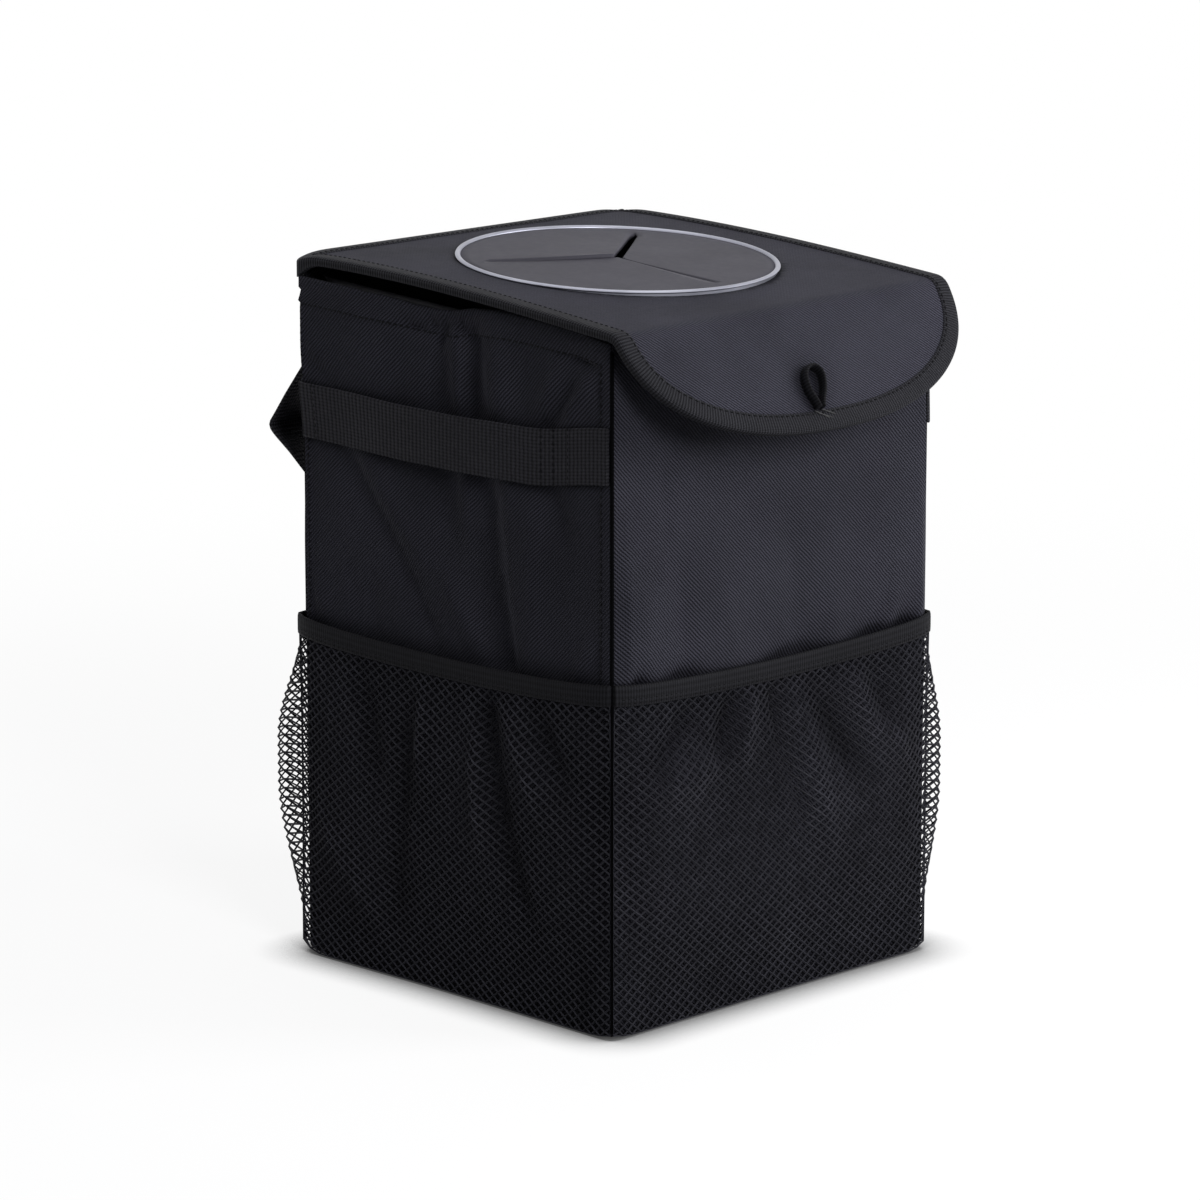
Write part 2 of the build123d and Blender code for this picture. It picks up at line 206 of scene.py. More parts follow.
CAD_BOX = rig.bounds()
MM = 0.001
WELD = 1e-4
TINY = 1e-6
CLOTH_MAP = "cloth"
MIDDLE_HIGH = 150
UP_SHARE = 0.01
Colour = tuple[float, float, float]
Spot = tuple[float, float, float]
Place = Callable[[int, int], Vector]
Section = Sequence[tuple[float, float]]
Stops = list[tuple[Vector, Vector, float]]
log = logging.getLogger("car_bin")


def smooth(value: float, low: float = 0.0, high: float = 1.0) -> float:
    """Eases a value from 0 at low to 1 at high."""
    share = min(max((value - low) / (high - low), 0.0), 1.0)
    return share * share * (3.0 - 2.0 * share)


@dataclass(frozen=True)
class Ramp:
    """A soft step from 0 at its low end to 1 at its high end."""

    low: float
    high: float

    def __call__(self, value: float) -> float:
        """Finds how much of the step is done at a value."""
        return smooth(value, self.low, self.high)


@dataclass(frozen=True)
class Ripple:
    """Soft seeded noise of the cloth: its height, its size both ways and its seed."""

    high: float
    wide: float
    tall: float
    seed: float

    def __call__(self, x: float, y: float) -> float:
        """Finds the lift at a place, from about minus to plus the height."""
        return self.high * noise.noise(Vector((x / self.wide, y / self.tall, self.seed)))


def evenly(points: Sequence[Vector], step: float) -> Stops:
    """Walks along a line of points at an even step.

    Args:
        points: The line's corners, in order.
        step: Distance between two stops.

    Returns:
        A place, a unit direction and the length so far for each stop, both ends included.
    """
    lengths = [0.0]
    for first, second in zip(points, points[1:]):
        lengths.append(lengths[-1] + (second - first).length)
    count = max(2, round(lengths[-1] / step))
    stops, at = [], 0
    for index in range(count + 1):
        goal = lengths[-1] * index / count
        while at < len(points) - 2 and lengths[at + 1] < goal:
            at += 1
        run = points[at + 1] - points[at]
        share = (goal - lengths[at]) / max(run.length, 1e-9)
        stops.append((points[at] + run * share, run.normalized(), goal))
    return stops


def joint_line(name: str) -> Vector:
    """Finds where a joint's axis lies, in millimetres."""
    found = next(joint for joint in frame["joints"] if joint["name"] == name)
    return Vector(found["pos_m"]) / MM


def node_middle(name: str) -> Vector:
    """Finds the middle of a node's box, in millimetres."""
    low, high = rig.box(name)
    return (low + high) / (2 * MM)


def from_axis(spot: Vector) -> Vector:
    """Points away from the bin's upright axis, and a little away from its middle height."""
    return Vector((spot.x, spot.y, (spot.z - MIDDLE_HIGH) * UP_SHARE))


def put(name: str, data: bpy.types.ID) -> bpy.types.Object:
    """Makes an object and links it to the scene.

    Args:
        name: The object's name.
        data: What it shows.

    Returns:
        The object.
    """
    made = bpy.data.objects.new(name, data)
    bpy.context.collection.objects.link(made)
    return made


@dataclass(frozen=True)
class Flare:
    """How far one corner of the soft shell stands out: all along, more at its top and more at its foot."""

    way_x: int
    way_y: int
    plain: float
    top: float
    foot: float
    near_x: Ramp = Ramp(0.0, 100.0)
    near_y: Ramp = Ramp(0.0, 97.5)
    rise: Ramp = Ramp(236.0, 284.0)
    fall: Ramp = Ramp(8.0, 70.0)
    tuck: Ramp = Ramp(299.0, 309.0)
    tucked: float = 0.8

    def shift(self, spot: Vector) -> Vector:
        """Finds the shift outwards at a point of the square shell.

        Args:
            spot: The point.

        Returns:
            The shift, which is tucked in under the lid at the back.
        """
        share = self.near_x(self.way_x * spot.x) * self.near_y(self.way_y * spot.y)
        far = self.plain + self.top * self.rise(spot.z) + self.foot * (1 - self.fall(spot.z))
        back = 1 - self.tucked * self.tuck(spot.z) if self.way_y > 0 else 1.0
        return Vector((self.way_x, self.way_y * back, 0.0)) * share * far


FLARES = (Flare(-1, 1, 1.8, 2.0, 0.3), Flare(1, -1, 1.0, -0.6, 0.0), Flare(1, 1, 0.6, 0.6, 0.0))


def corner_flare(spot: Vector) -> Vector:
    """Finds how far the soft shell stands out from the square at a place near its corners."""
    return sum((flare.shift(spot) for flare in FLARES), Vector())


class Side(Enum):
    """The four upright sides: turn about the upright axis, half width, and distance from the middle."""

    FRONT = (0.0, 100.0, 97.5)
    RIGHT = (90.0, 97.5, 100.0)
    BACK = (180.0, 100.0, 97.5)
    LEFT = (-90.0, 97.5, 100.0)

    @property
    def turn(self) -> float:
        """Degrees from the front."""
        return self.value[0]

    @property
    def half(self) -> float:
        """Half of the side's width."""
        return self.value[1]

    @property
    def reach(self) -> float:
        """Distance of the side's panel from the middle."""
        return self.value[2]

    @property
    def label(self) -> str:
        """The side's name, as pieces and nodes have it."""
        return self.name.lower()

    @property
    def soft(self) -> bool:
        """Whether the side has no board behind it."""
        return self in (Side.LEFT, Side.RIGHT)

    @property
    def facing(self) -> Vector:
        """The side's outward direction."""
        return self.place(0, 1, 0) - self.place(0, 0, 0)

    def place(self, along: float, out: float, z: float) -> Vector:
        """Finds a point of this side.

        Args:
            along: Distance to the right of its middle, seen from outside.
            out: Distance out from the panel's plane.
            z: Height over the floor.

        Returns:
            The point, in millimetres.
        """
        turn = Matrix.Rotation(math.radians(self.turn), 3, "Z")
        spot = turn @ Vector((along, -self.reach - out, z))
        return spot + corner_flare(spot)


class Bench:
    """Adds and links shader nodes in one tree."""

    def __init__(self, tree: bpy.types.NodeTree) -> None:
        """Takes the tree to work in."""
        self.tree = tree

    @classmethod
    def fresh(cls, owner: bpy.types.ID) -> "Bench":
        """Empties a shader tree and takes it.

        Args:
            owner: The material or world that has the tree.

        Returns:
            A bench for the tree.
        """
        owner.use_nodes = True
        owner.node_tree.nodes.clear()
        return cls(owner.node_tree)

    def add(self, kind: str, settings: Optional[dict] = None, **inputs: object) -> bpy.types.Node:
        """Adds a node.

        Args:
            kind: The node's type name after ShaderNode.
            settings: Properties of the node.
            inputs: Values or sockets by input name, with _ for a space, or iN for input number N.

        Returns:
            The new node.
        """
        node = self.tree.nodes.new("ShaderNode" + kind)
        for key, value in (settings or {}).items():
            setattr(node, key, value)
        for key, value in inputs.items():
            socket = node.inputs[int(key[1:]) if key[1:].isdigit() else key.replace("_", " ")]
            if isinstance(value, bpy.types.NodeSocket):
                self.tree.links.new(value, socket)
            else:
                socket.default_value = value
        return node

    def math(self, operation: str, *values: object) -> bpy.types.NodeSocket:
        """Does a sum with one to three numbers or sockets."""
        pairs = {f"i{index}": value for index, value in enumerate(values)}
        return self.add("Math", {"operation": operation}, **pairs).outputs[0]

    def mix(self, share: object, first: object, second: object) -> bpy.types.NodeSocket:
        """Mixes two colours, with a share of the second."""
        return self.add("Mix", {"data_type": "RGBA"}, i0=share, i6=first, i7=second).outputs[2]

    def noise(self, where: bpy.types.NodeSocket, scale: object, detail: float) -> bpy.types.NodeSocket:
        """Draws soft noise."""
        return self.add("TexNoise", Vector=where, Scale=scale, Detail=detail).outputs[0]

    def cloth(self) -> bpy.types.NodeSocket:
        """Places on the flat cloth, in metres."""
        return self.add("UVMap", {"uv_map": CLOTH_MAP}).outputs[0]

    def body(self) -> bpy.types.NodeSocket:
        """Places in the bin's own frame, in metres."""
        return self.add("TexCoord").outputs["Object"]

    def cloud(self, where: bpy.types.NodeSocket, broad: float, fine: float) -> bpy.types.Node:
        """Draws the shared cloudy tone at two scales."""
        return self.add("Group", {"node_tree": Effects.cloudy()}, Vector=where, Broad=broad, Fine=fine)

    def openness(self, samples: int, distance: float) -> bpy.types.NodeSocket:
        """Measures how open the surface lies, 0 in a deep corner, for painting shade where it is closed in."""
        return self.add("AmbientOcclusion", {"samples": samples}, Distance=distance).outputs["AO"]

    def seen(self) -> bpy.types.NodeSocket:
        """Tells rays that show the surround, straight or mirrored, from those that light the bin.

        Returns:
            1 for the first kind, 0 for the second.
        """
        path = self.add("LightPath").outputs
        mirrored = self.math("MAXIMUM", path["Is Glossy Ray"], path["Is Transmission Ray"])
        return self.math("MAXIMUM", path["Is Camera Ray"], mirrored)


class Effects:
    """The shared shader groups, each built once."""

    @staticmethod
    def _start(name: str, sizes: Sequence[str], outputs: Sequence[str]) -> tuple[Bench, dict]:
        """Starts a group that takes a place and some sizes.

        Args:
            name: The group's name.
            sizes: Names of the value inputs.
            outputs: Names of the value outputs.

        Returns:
            A bench for its tree, and its inputs by name.
        """
        tree = bpy.data.node_groups.new(name, "ShaderNodeTree")
        tree.interface.new_socket("Vector", in_out="INPUT", socket_type="NodeSocketVector")
        for way, keys in (("INPUT", sizes), ("OUTPUT", outputs)):
            for key in keys:
                tree.interface.new_socket(key, in_out=way, socket_type="NodeSocketFloat")
        start = tree.nodes.new("NodeGroupInput")
        return Bench(tree), {key: start.outputs[key] for key in ("Vector", *sizes)}

    @staticmethod
    def _end(bench: Bench, **outputs: bpy.types.NodeSocket) -> bpy.types.NodeTree:
        """Ends a group.

        Args:
            bench: The group's bench.
            outputs: Sockets by the name of the output that they feed.

        Returns:
            The group's tree.
        """
        end = bench.tree.nodes.new("NodeGroupOutput")
        for key, socket in outputs.items():
            bench.tree.links.new(socket, end.inputs[key])
        return bench.tree

    @staticmethod
    def _ribs(bench: Bench, where: bpy.types.NodeSocket, coarse: float, strength: float) -> tuple:
        """Splits a place in its two ways, with a slow drift that keeps the threads from being straight.

        Args:
            bench: The group's bench.
            where: The place.
            coarse: Scale of the drift.
            strength: Its size.

        Returns:
            The first way, the second way and the drift.
        """
        parts = bench.add("SeparateXYZ", Vector=where).outputs
        wander = bench.math("SUBTRACT", bench.noise(where, coarse, 1.0), 0.5)
        return parts[0], parts[1], bench.math("MULTIPLY", wander, strength)

    @classmethod
    @cache
    def twill(cls) -> bpy.types.NodeTree:
        """Slanting ribs of twill, broken by the crossing threads.

        Returns:
            The group: Vector and Pitch in, Height and Tone out.
        """
        bench, ends = cls._start("twill_ribs", ["Pitch"], ["Height", "Tone"])
        across, up, drift = cls._ribs(bench, ends["Vector"], 160.0, 0.0010)
        slant = bench.math("ADD", bench.math("ADD", across, up), drift)
        turn = bench.math("DIVIDE", 2 * math.pi, ends["Pitch"])
        rib = bench.math("SINE", bench.math("MULTIPLY", slant, turn))
        cross = bench.math("SINE", bench.math("MULTIPLY", bench.math("SUBTRACT", across, up), turn))
        broken = bench.math("MULTIPLY", rib, bench.math("MULTIPLY_ADD", cross, 0.25, 0.75))
        height = bench.math("MULTIPLY_ADD", broken, 0.5, 0.5)
        fleck = bench.math("MULTIPLY_ADD", bench.noise(ends["Vector"], 1400.0, 2.0), 1.1, 0.45)
        return cls._end(bench, Height=height, Tone=bench.math("MULTIPLY", height, fleck))

    @classmethod
    @cache
    def band(cls) -> bpy.types.NodeTree:
        """Ribs across a woven band and the rows of threads along it.

        Returns:
            The group: Vector, Rib and Row in, Height and Tone out.
        """
        bench, ends = cls._start("band_ribs", ["Rib", "Row"], ["Height", "Tone"])
        along, across, drift = cls._ribs(bench, ends["Vector"], 220.0, 1.6)
        ribs = bench.math("DIVIDE", along, ends["Rib"])
        rows = bench.math("DIVIDE", across, ends["Row"])
        wave = bench.math("SINE", bench.math("MULTIPLY_ADD", ribs, 2 * math.pi, drift))
        weft = bench.math("SINE", bench.math("MULTIPLY", rows, 2 * math.pi))
        height = bench.math("MULTIPLY_ADD", wave, 0.32, bench.math("MULTIPLY_ADD", weft, 0.18, 0.5))
        fleck = bench.math("MULTIPLY_ADD", bench.noise(ends["Vector"], 1600.0, 2.0), 1.2, 0.4)
        return cls._end(bench, Height=height, Tone=bench.math("MULTIPLY", height, fleck))

    @classmethod
    @cache
    def cloudy(cls) -> bpy.types.NodeTree:
        """Broad soft changes of tone and a fine grain.

        Returns:
            The group: Vector, Broad and Fine in, Tone and Grain out.
        """
        bench, ends = cls._start("cloudy_tone", ["Broad", "Fine"], ["Tone", "Grain"])
        tone, grain = (bench.noise(ends["Vector"], ends[key], 3.0) for key in ("Broad", "Fine"))
        return cls._end(bench, Tone=tone, Grain=grain)


class Weave(Enum):
    """Kinds of surface pattern: the first three lie on the flat cloth, the last in the bin's own frame."""

    TWILL = "twill"
    BAND = "band"
    FILM = "film"
    GRAIN = "grain"


@dataclass(frozen=True)
class Finish:
    """One finish: colours, gloss, surface pattern and, for some, painted shade. Rib and row are the pattern's sizes in
    millimetres.
    """

    name: str
    dark: Colour
    light: Colour
    rough: float
    weave: Weave
    rib: float
    row: float
    relief: float
    gloss: float = 0.1
    sheen: float = 0.0
    metal: float = 0.0
    # Painted shade: how much the colour darkens in creases, corners and recesses, where the surface is closed in.
    cavity: float = 0.0
    # Whether the colour takes painted shade and light from a gather lift stored in the cloth map.
    gathered: bool = False
    cloud: tuple[float, float] = (22.0, 300.0)
    # How far the test for that painted shade reaches, in metres.
    hollow: float = 0.012

    def _pattern(self, bench: Bench) -> tuple[bpy.types.NodeSocket, bpy.types.NodeSocket]:
        """Places the pattern.

        Args:
            bench: The material's bench.

        Returns:
            Its height and tone.
        """
        if self.weave is Weave.GRAIN or self.weave is Weave.FILM:
            where = bench.body() if self.weave is Weave.GRAIN else bench.cloth()
            made = bench.cloud(where, 1.0 / (self.row * MM), 1.0 / (self.rib * MM)).outputs
            return made["Grain"], made["Tone"]
        if self.weave is Weave.TWILL:
            group, sizes = Effects.twill(), {"Pitch": self.rib * MM}
        else:
            group, sizes = Effects.band(), {"Rib": self.rib * MM, "Row": self.row * MM}
        made = bench.add("Group", {"node_tree": group}, Vector=bench.cloth(), **sizes).outputs
        return made["Height"], made["Tone"]

    def material(self) -> bpy.types.Material:
        """Builds the material, once.

        Returns:
            The material of this finish.
        """
        found = bpy.data.materials.get(self.name)
        if found:
            return found
        made = bpy.data.materials.new(self.name)
        bench = Bench.fresh(made)
        height, tone = self._pattern(bench)
        cloud = bench.cloud(bench.body(), *self.cloud).outputs
        share = bench.math("MULTIPLY", tone, bench.math("MULTIPLY_ADD", cloud["Tone"], 0.9, 0.55))
        # Painted shade and light: a net's strands darken in its gathers' hollows and lighten on their ridges.
        if self.gathered:
            share = bench.math("MULTIPLY", share, bench.add("SeparateXYZ", Vector=bench.cloth()).outputs[0])
        # Painted shade: the colour darkens where ambient occlusion finds the surface closed in, in creases, corners
        # and under parts.
        if self.cavity:
            open_sky = bench.openness(6, self.hollow)
            deep = bench.math("MULTIPLY", open_sky, open_sky)
            deep = bench.math("MULTIPLY_ADD", deep, self.cavity, 1 - self.cavity)
            share = bench.math("MULTIPLY", share, deep)
        colour = bench.mix(share, (*self.dark, 1.0), (*self.light, 1.0))
        rough = bench.math("MULTIPLY_ADD", cloud["Grain"], 0.14, self.rough - 0.07)
        bump = bench.add("Bump", Strength=0.9, Distance=self.relief * MM, Height=height)
        shader = bench.add("BsdfPrincipled", Base_Color=colour, Roughness=rough, Normal=bump.outputs[0],
                           Metallic=self.metal, Sheen_Weight=self.sheen, Sheen_Roughness=0.45,
                           Specular_IOR_Level=self.gloss)
        bench.add("OutputMaterial", i0=shader.outputs[0])
        return made


# The twill takes painted shade in its creases, corners and recesses.
TWILL = Finish("black_twill", (0.0028, 0.0028, 0.0038), (0.079, 0.0785, 0.104), 0.6,
               Weave.TWILL, 1.85, 1.0, 0.36, gloss=0.04, sheen=0.008, cavity=0.85)
# The bag's twill made lighter for the lid and flap: painted light, for the fuller light that falls on them.
PAINTED_LIT_COVER = replace(TWILL, name="cover_twill", light=(0.100, 0.099, 0.134))
TAPE = Finish("binding_tape", (0.003, 0.003, 0.004), (0.057, 0.057, 0.067), 0.58,
              Weave.BAND, 1.5, 0.7, 0.4, gloss=0.05)
WEBBING = Finish("woven_webbing", (0.006, 0.006, 0.007), (0.060, 0.059, 0.071), 0.55,
                 Weave.BAND, 2.4, 1.5, 0.5, gloss=0.05)
ELASTIC = Finish("ribbed_elastic", (0.006, 0.006, 0.007), (0.026, 0.026, 0.031), 0.58,
                 Weave.BAND, 1.4, 2.6, 0.15, gloss=0.05)
# The net's colour follows its gathers: painted shade in the hollows, painted light on the ridges.
NET = Finish("pocket_net", (0.006, 0.006, 0.008), (0.090, 0.090, 0.112), 0.5,
             Weave.GRAIN, 0.5, 6.0, 0.1, gloss=0.06, gathered=True)
THREAD = Finish("sewing_thread", (0.002, 0.002, 0.003), (0.014, 0.014, 0.016), 0.55,
                Weave.GRAIN, 0.4, 5.0, 0.05, gloss=0.05)
FILM = Finish("black_lining", (0.020, 0.020, 0.024), (0.060, 0.060, 0.070), 0.42, Weave.FILM, 2.5, 18.0, 0.12)
BOARD = Finish("stiff_board", (0.020, 0.020, 0.021), (0.052, 0.052, 0.053), 0.6, Weave.GRAIN, 1.5, 25.0, 0.05)
SILVER = Finish("satin_silver", (0.22, 0.225, 0.28), (0.54, 0.55, 0.63), 0.36,
                Weave.GRAIN, 0.6, 30.0, 0.01, gloss=0.4, metal=0.75)
RUBBER = Finish("dark_rubber", (0.062, 0.060, 0.074), (0.122, 0.118, 0.146), 0.55,
                Weave.GRAIN, 0.7, 40.0, 0.04, gloss=0.08)
RETAINER = Finish("black_plastic", (0.012, 0.012, 0.013), (0.040, 0.040, 0.042), 0.45,
                  Weave.GRAIN, 0.8, 20.0, 0.04, gloss=0.3)
# Near black: painted shade for the slits of the corner seams.
SLIT_SHADE = Finish("seam_shade", (0.0006, 0.0006, 0.0008), (0.004, 0.004, 0.005), 0.8,
              Weave.GRAIN, 0.6, 9.0, 0.05, gloss=0.02)
TACK = Finish("bar_tack_thread", (0.02, 0.02, 0.022), (0.16, 0.16, 0.165), 0.6, Weave.GRAIN, 0.5, 3.0, 0.05)


class Draft:
    """A mesh in the making, in millimetres, that becomes one piece."""

    def __init__(self, name: str) -> None:
        """Starts an empty mesh with a map for its cloth."""
        self.name = name
        self.mesh = bmesh.new()
        self.map = self.mesh.loops.layers.uv.new(CLOTH_MAP)

    def weave(self, columns: int, rows: int, place: Place, flat: Place,
              closed: bool = False) -> list[bmesh.types.BMVert]:
        """Makes a grid of cloth and lays it out.

        Args:
            columns: Faces along the first way.
            rows: Faces along the second way.
            place: Gives a corner's place from its column and row.
            flat: Gives the same corner's place on the flat cloth.
            closed: Whether the last column meets the first.

        Returns:
            The corners of the new cloth.
        """
        made = bmesh.ops.create_grid(self.mesh, x_segments=columns, y_segments=rows, size=1.0)["verts"]
        spots = {v: (round((v.co.x + 1) * columns / 2), round((v.co.y + 1) * rows / 2)) for v in made}
        faces = {face for v in made for face in v.link_faces}
        for face in faces:
            for loop in face.loops:
                loop[self.map].uv = flat(*spots[loop.vert]).to_2d() * MM
        for v, spot in spots.items():
            v.co = place(*spot)
        if closed:
            ends = [v for v, spot in spots.items() if spot[0] in (0, columns)]
            bmesh.ops.remove_doubles(self.mesh, verts=ends, dist=WELD)
        return [v for v in made if v.is_valid]

    def spin(self, points: Iterable[Spot], steps: int, closed: bool) -> None:
        """Turns a line of points once about the upright axis.

        Args:
            points: The line, in order.
            steps: Faces round.
            closed: Whether its last point meets the first.
        """
        spots = [self.mesh.verts.new(point) for point in points]
        ends = spots[1:] + spots[:1] if closed else spots[1:]
        edges = [self.mesh.edges.new(pair) for pair in zip(spots, ends)]
        bmesh.ops.spin(self.mesh, geom=spots + edges, cent=(0, 0, 0), axis=(0, 0, 1), angle=2 * math.pi,
                       steps=steps, use_merge=True)
        bmesh.ops.remove_doubles(self.mesh, verts=self.mesh.verts[:], dist=WELD)

    def move(self, matrix: Matrix) -> None:
        """Moves all of the mesh."""
        bmesh.ops.transform(self.mesh, matrix=matrix, verts=self.mesh.verts[:])

    def base(self, corners: Iterable[bmesh.types.BMVert], height: float) -> list[bmesh.types.BMFace]:
        """Closes an open lower edge with a flat base.

        Args:
            corners: Corners of the wall.
            height: All of the lower edge lies under this.

        Returns:
            The new faces.
        """
        low = {v for v in corners if v.co.z < height}
        ring = [e for e in self.mesh.edges if e.is_boundary and all(v in low for v in e.verts)]
        return bmesh.ops.contextual_create(self.mesh, geom=ring)["faces"]

    def outward(self, probe: Callable[[Vector], Vector]) -> "Draft":
        """Turns all faces to look one way.

        Args:
            probe: Gives the wanted direction at a place.

        Returns:
            This draft.
        """
        self.mesh.normal_update()
        total = sum(f.calc_area() * f.normal.dot(probe(f.calc_center_median())) for f in self.mesh.faces)
        if total < 0:
            bmesh.ops.reverse_faces(self.mesh, faces=self.mesh.faces[:])
        return self

    def closed_out(self) -> "Draft":
        """Turns the faces of a closed shape outwards."""
        bmesh.ops.recalc_face_normals(self.mesh, faces=self.mesh.faces[:])
        return self

    def capped(self) -> "Draft":
        """Closes all open ends and turns the faces outwards."""
        bmesh.ops.holes_fill(self.mesh, edges=[e for e in self.mesh.edges if e.is_boundary], sides=0)
        return self.closed_out()

    def piece(self, finish: Finish, slot: str, nodes: Sequence[str] = (),
              sharp: float = 50.0) -> bpy.types.Object:
        """Makes the object, in metres, with its material.

        Args:
            finish: What it is dressed in.
            slot: The record's material slot.
            nodes: The nodes that it stands for.
            sharp: Degrees past which an edge stays sharp.

        Returns:
            The new object.
        """
        self.move(Matrix.Scale(MM, 4))
        data = bpy.data.meshes.new(self.name)
        self.mesh.to_mesh(data)
        self.mesh.free()
        data.materials.append(finish.material())
        data.set_sharp_from_angle(angle=math.radians(sharp))
        made = put(self.name, data)
        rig.slot(made, slot)
        if nodes:
            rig.replaces(made, *nodes)
        log.info("%s: %d faces", self.name, len(data.polygons))
        return made


def thicken(piece: bpy.types.Object, thick: float, offset: float = -1.0) -> bpy.types.Object:
    """Gives a sheet its thickness with a modifier.

    Args:
        piece: The sheet.
        thick: Thickness in millimetres.
        offset: -1 grows it behind its faces, 1 before them.

    Returns:
        The same piece.
    """
    wall = piece.modifiers.new("thickness", "SOLIDIFY")
    wall.thickness = thick * MM
    wall.offset = offset
    return piece


def band_section(wide: float, thick: float, puff: float = 0.12) -> Section:
    """Outline of a flat band with rounded edges.

    Args:
        wide: Its width.
        thick: Its thickness.
        puff: How much thicker it is along its middle.

    Returns:
        Places across and out, once round, starting on the lower outer edge.
    """
    half, edge = wide / 2, thick / 2
    across = [-half + edge * s for s in (0.0, 0.3, 1.0)] + [-half * 0.5, 0.0, half * 0.5]
    across += [half - edge * s for s in (1.0, 0.3, 0.0)]
    rise = [0.0, 0.7, 1.0, 1.0 + puff, 1.0 + puff, 1.0 + puff, 1.0, 0.7, 0.0]
    upper = [(a, edge * r) for a, r in zip(across, rise)]
    lower = [(a, -edge * min(r, 1.0)) for a, r in zip(across, rise)]
    return upper + lower[-2:0:-1]


def ribbon(name: str, section: Section, steps: int, place: Callable[[int, float, float], Vector],
           along: Callable[[int], float]) -> Draft:
    """Draws a band's section along a line and closes its ends.

    Args:
        name: The piece's name.
        section: Places across and out, once round.
        steps: Steps along the line.
        place: Gives a point from its step, and its places across and out.
        along: Gives a step's place along the flat band.

    Returns:
        The closed draft.
    """
    draft = Draft(name)
    count = len(section)
    draft.weave(count, steps, lambda row, step: place(step, *section[row % count]),
                lambda row, step: Vector((along(step), section[row % count][0], 0)), closed=True)
    return draft.capped()


class Stitches:
    """Rows of small sewn stitches in one mesh."""

    FLAT: float = 0.36

    def __init__(self, name: str, long: float = 2.3, gap: float = 1.0, thick: float = 0.62) -> None:
        """Starts with no stitches.

        Args:
            name: The piece's name.
            long: Length of a stitch.
            gap: Distance between two stitches.
            thick: Thickness of the thread.
        """
        self.draft = Draft(name)
        self.step = long + gap
        self.size = Matrix.Diagonal((long / 2, thick / 2, thick * self.FLAT, 1.0))
        single = bmesh.new()
        bmesh.ops.create_uvsphere(single, u_segments=6, v_segments=4, radius=1.0)
        self.single = bpy.data.meshes.new(name + "_single")
        single.to_mesh(self.single)
        single.free()

    def row(self, points: Sequence[Vector], facing: Callable[[Vector], Vector]) -> None:
        """Sews along a line.

        Args:
            points: The line, on the surface.
            facing: Gives the surface's outward direction at a place.
        """
        for place, ahead, _ in evenly(points, self.step):
            out = facing(place).normalized()
            aside = out.cross(ahead).normalized()
            turn = Matrix((ahead, aside, out)).transposed().to_4x4()
            where = Matrix.Translation(place) @ turn @ self.size
            self.single.transform(where)
            self.draft.mesh.from_mesh(self.single)
            self.single.transform(where.inverted())

    def piece(self, thread: Finish = THREAD) -> bpy.types.Object:
        """Makes the object, in a thread."""
        bpy.data.meshes.remove(self.single)
        return self.draft.piece(thread, "tape", sharp=180.0)


@dataclass(frozen=True)
class Fold:
    """A soft fold from one place of a panel to another: a ridge, or a hollow where its height is negative.

    Lean widens or narrows the fold on its right. Its ends are lower than its middle.
    """

    along0: float
    z0: float
    along1: float
    z1: float
    wide: float
    high: float
    lean: float = 1.0
    fade: Ramp = Ramp(0.2, 0.5)
    end_loss: float = 0.55
    power: float = 1.5

    def height(self, along: float, z: float) -> float:
        """Finds how far the fold lifts the cloth.

        Args:
            along: Place along the panel.
            z: Height over the floor.

        Returns:
            Millimetres out from the panel.
        """
        run_a, run_z = self.along1 - self.along0, self.z1 - self.z0
        size = run_a * run_a + run_z * run_z
        share = ((along - self.along0) * run_a + (z - self.z0) * run_z) / size
        kept = min(max(share, 0.0), 1.0)
        away = math.hypot(along - self.along0 - kept * run_a, z - self.z0 - kept * run_z)
        ends = 1.0 - self.end_loss * self.fade(abs(kept - 0.5))
        right = run_a * (z - self.z0) - run_z * (along - self.along0) > 0
        wide = self.wide * self.lean if right else self.wide
        return self.high * ends * math.exp(-((away / wide) ** self.power))


def folds(*rows: Sequence[float]) -> tuple[Fold, ...]:
    """Makes folds from their values."""
    return tuple(Fold(*row) for row in rows)


